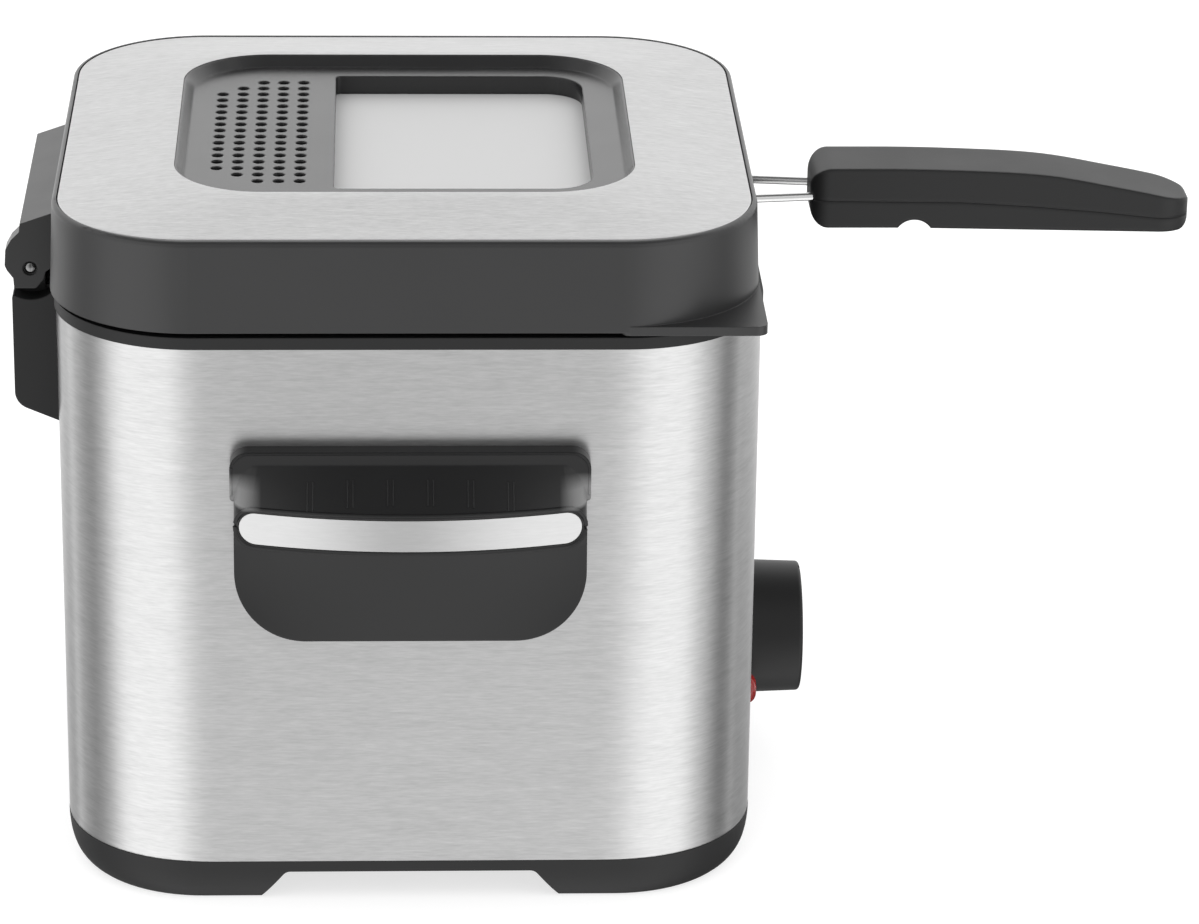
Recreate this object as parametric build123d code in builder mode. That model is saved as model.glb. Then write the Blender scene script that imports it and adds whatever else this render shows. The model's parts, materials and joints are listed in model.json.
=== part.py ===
from build123d import *
import os

# A compact deep fryer, in millimetres. The origin is on the table under the middle of the
# housing, +X points to the side with the knob and the basket handle, +Z is up.

# Housing
BODY_X = 98.0            # half length of the steel shell
BODY_Y = 94.3            # half width of the steel shell
BODY_CORNER = 39.1       # plan radius of the shell's corners
BASE_TOP = 12.6          # where the plastic base meets the steel
SHELL_TOP = 166.4
SHEET = 0.8              # sheet thickness of the shell
RIM_TOP = 169.8

# Lid
LID_CENTRE_X = -1.2
LID_X = 97.0             # half length at the top edge
LID_Y = 94.3             # half width at the top edge
LID_CORNER = 38.4
LID_DRAFT = 1.0          # how much the skirt widens towards its lower edge
LID_BOTTOM = 171.4
LID_TOP = 197.0
LID_WALL = 2.4
DECK_BOTTOM = 191.6
DECK_TOP = 194.2
DECK_OPENING_CORNER = 12.0
PLATE_INSET_X = 1.7
PLATE_INSET_Y = 2.6
PLATE_RISE = 3.6         # height of the crown of the steel plate
PLATE_THICK = 0.8
OPENING_X = 64.4         # half size of the plate's opening for the sunken dish
OPENING_Y = 63.0
OPENING_CORNER = 25.0
DISH_FLOOR = 197.5
DISH_SLOPE = 3.1         # how far the dish's wall leans in
WINDOW_LOW_X = -21.0
WINDOW_HIGH_X = 51.0
WINDOW_Y = 51.0
GLASS_TOP = 192.0
GLASS_THICK = 3.0
VENT_PITCH_X = 5.83
VENT_PITCH_Y = 5.58
VENT_FIRST_X = -53.7
VENT_RADIUS = 1.65
VENT_ROWS = (13, 15, 17, 17, 17)

# Lid hinge
PIN_X = -105.9
PIN_Z = 169.5
PIN_RADIUS = 1.75
PIN_CLEARANCE = 0.05
HINGE_Y = 38.0           # near end of both hinge blocks
HINGE_FAR = 42.0         # far end of both hinge blocks
LUG_INNER_Y = 31.5
BARREL_RADIUS = 5.2
LUG_SWING = 9.3          # clear radius around the pin for the turning lugs

# Bowl and basket
BOWL_X = 80.0            # half size inside
BOWL_Y = 76.0
BOWL_CORNER = 28.0
BOWL_WALL = 1.5
BOWL_FLOOR = 78.0
BASKET_X = 68.0
BASKET_Y = 64.0
BASKET_CORNER = 24.0
BASKET_BOTTOM = 81.2
BASKET_TOP = 160.0

# Basket handle
WIRE_RADIUS = 1.2
WIRE_Z = 180.0
GRIP_START = 114.9
GRIP_END = 224.4
GRIP_HALF_WIDTH = 10.4

# Knob and indicator lenses
KNOB_Z = 43.0
KNOB_RADIUS = 19.8
KNOB_FRONT = 115.8
SHAFT_RADIUS = 3.0
LENS_Y = 25.0
LENS_Z = 34.0
LENS_RADIUS = 4.6

# Carry handles, given as distances out from the shell's face
HANDLE_HALF = 48.1       # half length of the body
FLANGE_HALF = 49.2
HANDLE_TOP = 138.4
HANDLE_BOTTOM = 86.0
RIDGE_LOW = 113.4
RIDGE_HIGH = 124.2
RIDGE_END = 10.0         # reach of the ridge at its ends
RIDGE_MIDDLE = 17.6      # reach of the ridge in the middle
HANDLE_FOOT = 13.0       # reach of the lower edge
FLANGE_REACH = 5.0
SHELF_TOP = 134.6
TRIM_HALF = 46.6
TRIM_HEIGHT = 9.0
TRIM_Z = 118.9

# Cord entry
CORD_Y = 46.0
CORD_Z = 26.0
CORD_RADIUS = 3.75
CORD_NECK = 6.0          # half width of the bushing's square neck

os.makedirs("parts", exist_ok=True)


def block(bottom, top, half_x, half_y, corner, mode=Mode.ADD, centre_x=0.0):
    """Adds an upright block with a rounded rectangle for its plan to the open part."""
    with BuildSketch(Plane.XY.offset(bottom)) as outline:
        with Locations((centre_x, 0)):
            RectangleRounded(2 * half_x, 2 * half_y, corner)
    extrude(outline.sketch, amount=top - bottom, mode=mode)


def lofted(sections, mode=Mode.ADD, centre_x=0.0, ruled=True):
    """Adds a loft through rounded rectangles, each given as height, half sizes and corner."""
    outlines = []
    for height, half_x, half_y, corner in sections:
        with BuildSketch(Plane.XY.offset(height)) as outline:
            with Locations((centre_x, 0)):
                RectangleRounded(2 * half_x, 2 * half_y, corner)
        outlines.append(outline.sketch)
    loft(outlines, ruled=ruled, mode=mode)


def box(low, high, mode=Mode.ADD):
    """Adds a box between two corner points."""
    size = [b - a for a, b in zip(low, high)]
    middle = [(a + b) / 2 for a, b in zip(low, high)]
    with Locations(tuple(middle)):
        Box(*size, mode=mode)


def side_profile(points, low_y, high_y, mode=Mode.ADD, corners=()):
    """Adds a prism along Y from a closed outline of X, Z points; corners are X, Z, radius."""
    with BuildSketch(Plane.XZ) as outline:
        with BuildLine():
            Polyline(*points, close=True)
        make_face()
        for x, z, radius in corners:
            fillet(outline.vertices().sort_by_distance((x, z, 0))[0], radius=radius)
    face = outline.sketch.moved(Location((0, high_y, 0)))
    extrude(face, amount=high_y - low_y, mode=mode)


def bar(start, direction, radius, length, mode=Mode.ADD):
    """Adds a cylinder from a start point along a direction."""
    with BuildSketch(Plane(origin=start, z_dir=direction)) as section:
        Circle(radius)
    extrude(section.sketch, amount=length, mode=mode)


def tube_run(points, bend, radius):
    """Adds a round wire or tube along straight runs joined by arcs."""
    with BuildLine() as route:
        FilletPolyline(*points, radius=bend)
    with BuildSketch(Plane(origin=route.line @ 0, z_dir=route.line % 0)) as section:
        Circle(radius)
    sweep(section.sketch, path=route.line)


# ---------------------------------------------------------------- base

FOOT_BOTTOM = 0.4
BASE_WALL = 2.5
ARCH_TOP = 9.1
ARCH_FOOT_HALF = 42.0
ARCH_TOP_HALF = 35.0
ARCH_CORNER = 2.6
BASE_SECTIONS = (
    (FOOT_BOTTOM, 93.4, 91.2, 35.2),
    (2.4, 95.4, 92.4, 36.6),
    (5.4, 96.8, 93.4, 37.9),
    (8.6, 97.5, 93.9, 38.6),
    (BASE_TOP, 97.8, 94.1, 38.9),
)


def arches(clear, mode):
    """Cuts the two crossing arches between the feet, grown by a wall thickness."""
    low = -5.0
    wide, narrow = ARCH_FOOT_HALF + clear, ARCH_TOP_HALF + clear
    for plane, reach in ((Plane.XZ, BODY_Y), (Plane.YZ, BODY_X)):
        with BuildSketch(plane) as arch:
            with BuildLine():
                Polyline((-wide, low), (-wide, FOOT_BOTTOM), (-narrow, ARCH_TOP + clear),
                         (narrow, ARCH_TOP + clear), (wide, FOOT_BOTTOM), (wide, low), close=True)
            make_face()
            fillet(arch.vertices().group_by(Axis.Y)[-1], radius=ARCH_CORNER)
        extrude(arch.sketch, amount=reach + 5, both=True, mode=mode)


CAVITY_FLOOR = FOOT_BOTTOM + BASE_WALL
CAVITY_SECTIONS = [(CAVITY_FLOOR, *[size - BASE_WALL for size in BASE_SECTIONS[0][1:]])]
CAVITY_SECTIONS += [(z, *[size - BASE_WALL for size in sizes]) for z, *sizes in BASE_SECTIONS[2:]]
CAVITY_SECTIONS += [(BASE_TOP + 1, *[size - BASE_WALL for size in (BODY_X, BODY_Y, BODY_CORNER)])]

with BuildPart() as base_cavity:
    lofted(CAVITY_SECTIONS)
    arches(BASE_WALL, Mode.SUBTRACT)

FOOT_PAD_PLACES = [(x, y) for x in (-68.0, 68.0) for y in (-66.0, 66.0)]
PAD_RADIUS = 9.0
PAD_TOP = 1.6
PAN_FLOOR = ARCH_TOP + BASE_WALL
BRACKET_PLACES = (-20.0, 20.0)
BOSS_Y = BODY_Y - 10.0
BOSS_HALF = 5.0

with BuildPart() as base_pan:
    lofted(BASE_SECTIONS, ruled=False)
    arches(0.0, Mode.SUBTRACT)
    add(base_cavity.part, mode=Mode.SUBTRACT)
    with Locations(*[(x, y, PAD_TOP / 2) for x, y in FOOT_PAD_PLACES]):
        Cylinder(PAD_RADIUS, PAD_TOP, mode=Mode.SUBTRACT)
    for side in (-1, 1):
        for x in BRACKET_PLACES:
            box((x - BOSS_HALF, side * BOSS_Y - BOSS_HALF, ARCH_TOP + 1),
                (x + BOSS_HALF, side * BOSS_Y + BOSS_HALF, BASE_TOP))
base_pan.part.label = "base_pan"
export_step(base_pan.part, "parts/base_pan.step")

with BuildPart() as foot_pads:
    with Locations(*[(x, y, PAD_TOP / 2) for x, y in FOOT_PAD_PLACES]):
        Cylinder(PAD_RADIUS, PAD_TOP)
foot_pads.part.label = "foot_pads"
export_step(foot_pads.part, "parts/foot_pads.step")

# Four angle brackets hold the steel shell to the base.
BRACKET_SHEET = 1.2
BRACKET_REACH = 14.0
BRACKET_HALF = 7.0
BRACKET_HEIGHT = 20.0
SCREW_RADIUS = 3.0

with BuildPart() as shell_brackets:
    for side in (-1, 1):
        wall, inner, toe = [side * (BODY_Y - SHEET - d) for d in (0.0, BRACKET_SHEET, BRACKET_REACH)]
        for x in BRACKET_PLACES:
            box((x - BRACKET_HALF, min(wall, inner), BASE_TOP),
                (x + BRACKET_HALF, max(wall, inner), BASE_TOP + BRACKET_HEIGHT))
            box((x - BRACKET_HALF, min(wall, toe), BASE_TOP),
                (x + BRACKET_HALF, max(wall, toe), BASE_TOP + BRACKET_SHEET))
shell_brackets.part.label = "shell_brackets"
export_step(shell_brackets.part, "parts/shell_brackets.step")

with BuildPart() as base_screws:
    for side in (-1, 1):
        for x in BRACKET_PLACES:
            bar((x, side * BOSS_Y, BASE_TOP + BRACKET_SHEET), (0, 0, 1), SCREW_RADIUS, 2.0)
base_screws.part.label = "base_screws"
export_step(base_screws.part, "parts/base_screws.step")

# ---------------------------------------------------------------- steel shell and rim

SHAFT_HOLE = 5.2
LENS_STEM = 3.9
LENS_HOLE = LENS_STEM + 0.1

with BuildPart() as steel_shell:
    block(BASE_TOP, SHELL_TOP, BODY_X, BODY_Y, BODY_CORNER)
    block(BASE_TOP, SHELL_TOP, BODY_X - SHEET, BODY_Y - SHEET, BODY_CORNER - SHEET, Mode.SUBTRACT)
    bar((BODY_X - 5, 0, KNOB_Z), (1, 0, 0), SHAFT_HOLE, 10, Mode.SUBTRACT)
    for side in (-1, 1):
        bar((BODY_X - 5, side * LENS_Y, LENS_Z), (1, 0, 0), LENS_HOLE, 10, Mode.SUBTRACT)
    box((-BODY_X - 1, CORD_Y - CORD_NECK, CORD_Z - CORD_NECK),
        (-BODY_X + 5, CORD_Y + CORD_NECK, CORD_Z + CORD_NECK), Mode.SUBTRACT)
steel_shell.part.label = "steel_shell"
export_step(steel_shell.part, "parts/steel_shell.step")

RIM_BOTTOM = 160.0
RIM_OPENING_X = 84.0
RIM_OPENING_Y = 80.0
RIM_OPENING_CORNER = 31.0
FLANGE_SEAT = 1.0        # depth of the seat for the bowl's flange
BOWL_FLANGE_X = 90.0
BOWL_FLANGE_Y = 86.0
BOWL_FLANGE_CORNER = 36.0

with BuildPart() as top_rim:
    block(SHELL_TOP, RIM_TOP, BODY_X + 0.2, BODY_Y + 0.2, BODY_CORNER + 0.2)
    block(RIM_BOTTOM, SHELL_TOP, BODY_X - SHEET, BODY_Y - SHEET, BODY_CORNER - SHEET)
    block(RIM_BOTTOM, RIM_TOP, RIM_OPENING_X, RIM_OPENING_Y, RIM_OPENING_CORNER, Mode.SUBTRACT)
    block(RIM_TOP - FLANGE_SEAT, RIM_TOP, BOWL_FLANGE_X + 0.3, BOWL_FLANGE_Y + 0.3,
          BOWL_FLANGE_CORNER + 0.3, Mode.SUBTRACT)
top_rim.part.label = "top_rim"
export_step(top_rim.part, "parts/top_rim.step")

# ---------------------------------------------------------------- bowl and heating

BOWL_BEND = 14.0         # inside radius between floor and walls

with BuildPart() as inner_bowl:
    block(BOWL_FLOOR - BOWL_WALL, RIM_TOP, BOWL_X + BOWL_WALL, BOWL_Y + BOWL_WALL,
          BOWL_CORNER + BOWL_WALL)
    fillet(inner_bowl.edges().group_by(Axis.Z)[0], radius=BOWL_BEND + BOWL_WALL)
    block(RIM_TOP - FLANGE_SEAT, RIM_TOP, BOWL_FLANGE_X, BOWL_FLANGE_Y, BOWL_FLANGE_CORNER)
    with BuildPart(mode=Mode.PRIVATE) as bowl_hollow:
        block(BOWL_FLOOR, RIM_TOP + 1, BOWL_X, BOWL_Y, BOWL_CORNER)
        fillet(bowl_hollow.edges().group_by(Axis.Z)[0], radius=BOWL_BEND)
    add(bowl_hollow.part, mode=Mode.SUBTRACT)
inner_bowl.part.label = "inner_bowl"
export_step(inner_bowl.part, "parts/inner_bowl.step")

HEAT_PLATE_TOP = BOWL_FLOOR - BOWL_WALL
HEAT_PLATE_THICK = 6.0
HEAT_PLATE_RADIUS = 56.0
HEATER_TURN = 310.0      # degrees of the ring
TERMINAL_RADIUS = 2.4
TERMINAL_LENGTH = 16.0
HEATER_RING = 45.0
HEATER_RADIUS = 3.3
HEATER_Z = HEAT_PLATE_TOP - HEAT_PLATE_THICK - HEATER_RADIUS

with BuildPart() as heat_plate:
    with Locations((0, 0, HEAT_PLATE_TOP - HEAT_PLATE_THICK / 2)):
        Cylinder(HEAT_PLATE_RADIUS, HEAT_PLATE_THICK)
heat_plate.part.label = "heat_plate"
export_step(heat_plate.part, "parts/heat_plate.step")

with BuildPart() as heating_element:
    with BuildSketch(Plane.XZ) as heater_section:
        with Locations((HEATER_RING, HEATER_Z)):
            Circle(HEATER_RADIUS)
    revolve(heater_section.sketch, axis=Axis.Z, revolution_arc=HEATER_TURN)
    with BuildSketch(Plane.XY.offset(HEATER_Z)) as terminal_section:
        with PolarLocations(HEATER_RING, 2, start_angle=-4, angular_range=-50):
            Circle(TERMINAL_RADIUS)
    extrude(terminal_section.sketch, amount=-TERMINAL_LENGTH)
heating_element.part.label = "heating_element"
export_step(heating_element.part, "parts/heating_element.step")

SHIELD_BOTTOM = 54.0
SHIELD_TOP = 150.0
SHIELD_SIZES = (88.0, 84.0, 34.0)
SHIELD_SHEET = 0.6

with BuildPart() as heat_shield:
    block(SHIELD_BOTTOM, SHIELD_TOP, *SHIELD_SIZES)
    block(SHIELD_BOTTOM, SHIELD_TOP, *[size - SHIELD_SHEET for size in SHIELD_SIZES], Mode.SUBTRACT)
heat_shield.part.label = "heat_shield"
export_step(heat_shield.part, "parts/heat_shield.step")

CUTOUT_RADIUS = 8.0
CUTOUT_HEIGHT = 8.0
CUTOUT_BOTTOM = HEAT_PLATE_TOP - HEAT_PLATE_THICK - CUTOUT_HEIGHT

with BuildPart() as thermal_cutout:
    with Locations((0, 0, CUTOUT_BOTTOM + CUTOUT_HEIGHT / 2)):
        Cylinder(CUTOUT_RADIUS, CUTOUT_HEIGHT)
    box((-12, -3, CUTOUT_BOTTOM - 1), (12, 3, CUTOUT_BOTTOM))
thermal_cutout.part.label = "thermal_cutout"
export_step(thermal_cutout.part, "parts/thermal_cutout.step")

# ---------------------------------------------------------------- thermostat, lamps, wiring

THERMOSTAT_FRONT = 86.0
THERMOSTAT_BACK = 64.0
THERMOSTAT_HALF = 14.0
THERMOSTAT_NECK = 5.0
PLATE_HALF_Y = 24.0      # the bracket behind the knob
PLATE_HALF_Z = 20.0
PLATE_BACK = 93.0
PLATE_SHEET = 1.2

with BuildPart() as thermostat_body:
    box((THERMOSTAT_BACK, -THERMOSTAT_HALF, KNOB_Z - 17), (THERMOSTAT_FRONT, THERMOSTAT_HALF, KNOB_Z + 2))
    bar((THERMOSTAT_FRONT - 8, 0, KNOB_Z), (1, 0, 0), 9.0, 8.0)
    bar((THERMOSTAT_FRONT, 0, KNOB_Z), (1, 0, 0), THERMOSTAT_NECK, BODY_X - THERMOSTAT_FRONT + 0.4)
    bar((THERMOSTAT_FRONT - 14, 0, KNOB_Z), (1, 0, 0), SHAFT_RADIUS + PIN_CLEARANCE, 40, Mode.SUBTRACT)
thermostat_body.part.label = "thermostat_body"
export_step(thermostat_body.part, "parts/thermostat_body.step")

with BuildPart() as thermostat_bracket:
    box((PLATE_BACK, -PLATE_HALF_Y, KNOB_Z - PLATE_HALF_Z),
        (PLATE_BACK + PLATE_SHEET, PLATE_HALF_Y, KNOB_Z + PLATE_HALF_Z))
    for y in (-PLATE_HALF_Y, PLATE_HALF_Y - PLATE_SHEET):
        box((PLATE_BACK + PLATE_SHEET, y, KNOB_Z - PLATE_HALF_Z),
            (BODY_X - SHEET, y + PLATE_SHEET, KNOB_Z + PLATE_HALF_Z))
    bar((PLATE_BACK - 3, 0, KNOB_Z), (1, 0, 0), THERMOSTAT_NECK, 8, Mode.SUBTRACT)
    for side in (-1, 1):
        bar((PLATE_BACK - 3, side * LENS_Y, LENS_Z), (1, 0, 0), LENS_STEM + 1.5, 12, Mode.SUBTRACT)
thermostat_bracket.part.label = "thermostat_bracket"
export_step(thermostat_bracket.part, "parts/thermostat_bracket.step")

with BuildPart() as thermostat_sensor:
    tube_run([(64, 6, 32), (56, 6, 32), (46, 18, 38), (22, 26, 48), (22, 26, 66)], 3.0, 0.9)
    box((2, 22, 65), (26, 30, 70.5))
thermostat_sensor.part.label = "thermostat_sensor"
export_step(thermostat_sensor.part, "parts/thermostat_sensor.step")

LENS_STEM_LENGTH = 8.0
LENS_REACH = 3.7


def lens(side):
    """Adds a domed lens with a stem through the shell, on one side of the knob."""
    bar((BODY_X, side * LENS_Y, LENS_Z), (1, 0, 0), LENS_RADIUS, LENS_REACH)
    fillet(edges().group_by(Axis.X)[-1], radius=LENS_REACH - 0.7)
    bar((BODY_X - LENS_STEM_LENGTH, side * LENS_Y, LENS_Z), (1, 0, 0), LENS_STEM, LENS_STEM_LENGTH)


with BuildPart() as power_lens:
    lens(-1)
power_lens.part.label = "power_lens"
export_step(power_lens.part, "parts/power_lens.step")

with BuildPart() as ready_lens:
    lens(1)
ready_lens.part.label = "ready_lens"
export_step(ready_lens.part, "parts/ready_lens.step")

with BuildPart() as pilot_lamps:
    for side in (-1, 1):
        bar((72, side * LENS_Y, LENS_Z), (1, 0, 0), 3.2, BODY_X - LENS_STEM_LENGTH - 72)
pilot_lamps.part.label = "pilot_lamps"
export_step(pilot_lamps.part, "parts/pilot_lamps.step")

BUSHING_RADIUS = 8.0
BUSHING_LIP = 5.0
TERMINAL_PLACES = (26, 35, 44)
TERMINAL_TOP = PAN_FLOOR + 12.0

with BuildPart() as cord_bushing:
    bar((-BODY_X - BUSHING_LIP, CORD_Y, CORD_Z), (1, 0, 0), BUSHING_RADIUS, BUSHING_LIP)
    box((-BODY_X, CORD_Y - CORD_NECK, CORD_Z - CORD_NECK),
        (-BODY_X + SHEET, CORD_Y + CORD_NECK, CORD_Z + CORD_NECK))
    bar((-BODY_X + SHEET, CORD_Y, CORD_Z), (1, 0, 0), BUSHING_RADIUS, BUSHING_LIP)
    bar((-BODY_X - BUSHING_LIP - 1, CORD_Y, CORD_Z), (1, 0, 0), CORD_RADIUS, 20, Mode.SUBTRACT)
cord_bushing.part.label = "cord_bushing"
export_step(cord_bushing.part, "parts/cord_bushing.step")

with BuildPart() as terminal_block:
    box((-72, 20, PAN_FLOOR), (-50, 50, TERMINAL_TOP))
    for y in TERMINAL_PLACES:
        bar((-61, y, TERMINAL_TOP - 6), (0, 0, 1), TERMINAL_RADIUS, 10, Mode.SUBTRACT)
terminal_block.part.label = "terminal_block"
export_step(terminal_block.part, "parts/terminal_block.step")

LEAD_RADIUS = 1.2

with BuildPart() as internal_leads:
    tube_run([(-50, 26, 18), (-38, 26, 18), (0, 10, 18), (30, -8, 18), (48, -11, 24), (52, -11, 36),
              (64, -11, 36)], 4.0, LEAD_RADIUS)
    tube_run([(-50, 35, 18), (-38, 35, 18), (0, 50, 18), (40, 40, 20), (58, 25, 28), (64, 25, 34),
              (72, 25, 34)], 4.0, LEAD_RADIUS)
    tube_run([(-50, 44, 18), (-40, 44, 18), (-14, 28, 22), (-6, 6, 40), (-4, 4, 60.6)], 4.0, LEAD_RADIUS)
internal_leads.part.label = "internal_leads"
export_step(internal_leads.part, "parts/internal_leads.step")

# ---------------------------------------------------------------- knob

KNOB_SKIRT = 98.8        # gap of 0.8 to the shell
KNOB_WALL = 2.4
KNOB_BORE_DEPTH = 14.5
POINTER_START = 5.0

with BuildPart() as knob:
    with BuildSketch(Plane.XY.offset(KNOB_Z)) as knob_half:
        with BuildLine():
            Polyline((KNOB_SKIRT, 0), (KNOB_SKIRT, KNOB_RADIUS), (KNOB_FRONT, KNOB_RADIUS - 0.6),
                     (KNOB_FRONT, 0), close=True)
        make_face()
        fillet(knob_half.vertices().group_by(Axis.X)[-1].sort_by(Axis.Y)[-1], radius=1.1)
    revolve(knob_half.sketch, axis=Axis((0, 0, KNOB_Z), (1, 0, 0)))
    bar((BODY_X, 0, KNOB_Z), (1, 0, 0), KNOB_RADIUS - KNOB_WALL, 14.0, Mode.SUBTRACT)
    bar((KNOB_SKIRT + 0.4, 0, KNOB_Z), (1, 0, 0), 5.6, 14.0)
    bar((BODY_X, 0, KNOB_Z), (1, 0, 0), SHAFT_RADIUS, KNOB_BORE_DEPTH, Mode.SUBTRACT)
    box((KNOB_FRONT - 0.6, -0.8, KNOB_Z + POINTER_START),
        (KNOB_FRONT + 1, 0.8, KNOB_Z + KNOB_RADIUS + 1), Mode.SUBTRACT)
knob.part.label = "knob"
export_step(knob.part, "parts/knob.step")

with BuildPart() as thermostat_shaft:
    bar((THERMOSTAT_FRONT - 12, 0, KNOB_Z), (1, 0, 0), SHAFT_RADIUS,
        BODY_X + KNOB_BORE_DEPTH - THERMOSTAT_FRONT + 12)
thermostat_shaft.part.label = "thermostat_shaft"
export_step(thermostat_shaft.part, "parts/thermostat_shaft.step")

# ---------------------------------------------------------------- carry handles

HANDLE_WALL = 2.6
FLANGE_BACK = 2.0        # thickness left behind the finger space
FINGER_TOP = 117.0
FLANGE_TOP_CORNER = 5.0
HANDLE_LOW_CORNER = 19.6
TRIM_DEPTH = 0.8
TRIM_GAP = 0.15
SHELF_CORNER = 7.0       # front corners of the shelf
SHELF_END = 6.5          # rounding where the shelf meets the ends

RIDGE_RADIUS = (HANDLE_HALF**2 + (RIDGE_MIDDLE - RIDGE_END) ** 2) / (2 * (RIDGE_MIDDLE - RIDGE_END))
RIDGE_CENTRE_Y = -BODY_Y - RIDGE_MIDDLE + RIDGE_RADIUS


def ridge_outline(height, reach_end, reach_middle, half, back=0.0):
    """A face at one height, from the shell out to a front edge that bulges in the middle."""
    shell = -BODY_Y - back
    with BuildSketch(Plane.XY.offset(height)) as outline:
        with BuildLine():
            ThreePointArc((-half, -BODY_Y - reach_end), (0, -BODY_Y - reach_middle),
                          (half, -BODY_Y - reach_end))
            Polyline((half, -BODY_Y - reach_end), (half, shell), (-half, shell),
                     (-half, -BODY_Y - reach_end))
        make_face()
    return outline.sketch


def ridge_drum(depth, mode):
    """The upright drum whose face is the ridge's bulge, set in by a depth."""
    bar((0, RIDGE_CENTRE_Y, TRIM_Z - 10), (0, 0, 1), RIDGE_RADIUS - depth, 20, mode)


def front_outline(bottom, top, half, low_corner, top_corner, reach):
    """Keeps what lies inside a front outline with rounded corners."""
    with BuildSketch(Plane.XZ.offset(BODY_Y - 1)) as outline:
        with BuildLine():
            Polyline((-half, bottom), (half, bottom), (half, top), (-half, top), close=True)
        make_face()
        fillet(outline.vertices().group_by(Axis.Y)[0], radius=low_corner)
        fillet(outline.vertices().group_by(Axis.Y)[-1], radius=top_corner)
    return extrude(outline.sketch, amount=reach + 1, mode=Mode.PRIVATE)


STRAIGHT = 0.05          # bulge of the edges that read as straight

with BuildPart() as finger_space:
    inner = HANDLE_HALF - HANDLE_WALL
    loft([ridge_outline(HANDLE_BOTTOM - 1, HANDLE_FOOT - HANDLE_WALL,
                        HANDLE_FOOT - HANDLE_WALL + STRAIGHT, inner, FLANGE_BACK),
          ridge_outline(FINGER_TOP, RIDGE_END - HANDLE_WALL, RIDGE_MIDDLE - HANDLE_WALL,
                        inner, FLANGE_BACK)], ruled=True)
    fillet(finger_space.edges().filter_by(Axis.Y).group_by(Axis.Z)[-1], radius=5.0)

with BuildPart() as handle_body:
    loft([ridge_outline(HANDLE_BOTTOM, HANDLE_FOOT, HANDLE_FOOT + STRAIGHT, HANDLE_HALF),
          ridge_outline(RIDGE_LOW, RIDGE_END, RIDGE_MIDDLE, HANDLE_HALF)], ruled=True)
    loft([ridge_outline(RIDGE_LOW, RIDGE_END, RIDGE_MIDDLE, HANDLE_HALF),
          ridge_outline(RIDGE_HIGH, RIDGE_END, RIDGE_MIDDLE, HANDLE_HALF)], ruled=True)
    loft([ridge_outline(RIDGE_HIGH, RIDGE_END, RIDGE_MIDDLE, HANDLE_HALF),
          ridge_outline(SHELF_TOP, FLANGE_REACH, FLANGE_REACH + STRAIGHT, HANDLE_HALF)], ruled=True)
    shelf_ends = [e for e in handle_body.edges() if e.center().Z > RIDGE_HIGH + 1
                  and e.center().Z < SHELF_TOP - 1 and abs(e.center().X) > HANDLE_HALF - 1
                  and e.center().Y < -BODY_Y - FLANGE_REACH + 1]
    fillet(shelf_ends, radius=SHELF_END)
    add(front_outline(HANDLE_BOTTOM, SHELF_TOP, HANDLE_HALF, HANDLE_LOW_CORNER, SHELF_CORNER, 30.0),
        mode=Mode.INTERSECT)


def trim_form(gap):
    """Adds a flat slot shape along the ridge, wider than the trim by a gap all round."""
    with BuildSketch(Plane.XZ.offset(BODY_Y)) as slot:
        with Locations((0, TRIM_Z)):
            SlotOverall(2 * (TRIM_HALF + gap), TRIM_HEIGHT + 2 * gap)
    extrude(slot.sketch, amount=30.0)


with BuildPart() as trim_recess:
    trim_form(TRIM_GAP)
    ridge_drum(TRIM_DEPTH, Mode.SUBTRACT)

with BuildPart() as carry_handle_near:
    add(handle_body.part)
    add(front_outline(HANDLE_BOTTOM, HANDLE_TOP - 1.0, HANDLE_HALF, HANDLE_LOW_CORNER,
                      FLANGE_TOP_CORNER, FLANGE_REACH))
    add(front_outline(RIDGE_HIGH, HANDLE_TOP, FLANGE_HALF, 1.0, FLANGE_TOP_CORNER, FLANGE_REACH))
    box((-60, -BODY_Y, 60), (60, -BODY_Y + 5, 150), Mode.SUBTRACT)
    add(finger_space.part, mode=Mode.SUBTRACT)
    add(trim_recess.part, mode=Mode.SUBTRACT)
carry_handle_near.part.label = "carry_handle_near"
export_step(carry_handle_near.part, "parts/carry_handle_near.step")

with BuildPart() as handle_trim_near:
    trim_form(0.0)
    ridge_drum(TRIM_DEPTH, Mode.SUBTRACT)
    ridge_drum(0.0, Mode.INTERSECT)
handle_trim_near.part.label = "handle_trim_near"
export_step(handle_trim_near.part, "parts/handle_trim_near.step")

with BuildPart() as carry_handle_far:
    mirror(carry_handle_near.part, about=Plane.XZ)
carry_handle_far.part.label = "carry_handle_far"
export_step(carry_handle_far.part, "parts/carry_handle_far.step")

with BuildPart() as handle_trim_far:
    mirror(handle_trim_near.part, about=Plane.XZ)
handle_trim_far.part.label = "handle_trim_far"
export_step(handle_trim_far.part, "parts/handle_trim_far.step")

with BuildPart() as handle_screws:
    for side in (-1, 1):
        for x in (-38.0, 38.0):
            bar((x, side * (BODY_Y - SHEET), 128.0), (0, -side, 0), 3.2, 2.2)
handle_screws.part.label = "handle_screws"
export_step(handle_screws.part, "parts/handle_screws.step")

# ---------------------------------------------------------------- lid hinge

HINGE_LEFT = -111.2
HINGE_BASE_TOP = 162.2
HINGE_BASE_BOTTOM = 123.4
PIN_HALF = 37.2
BARREL_HALF = LUG_INNER_Y - 0.5

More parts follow.
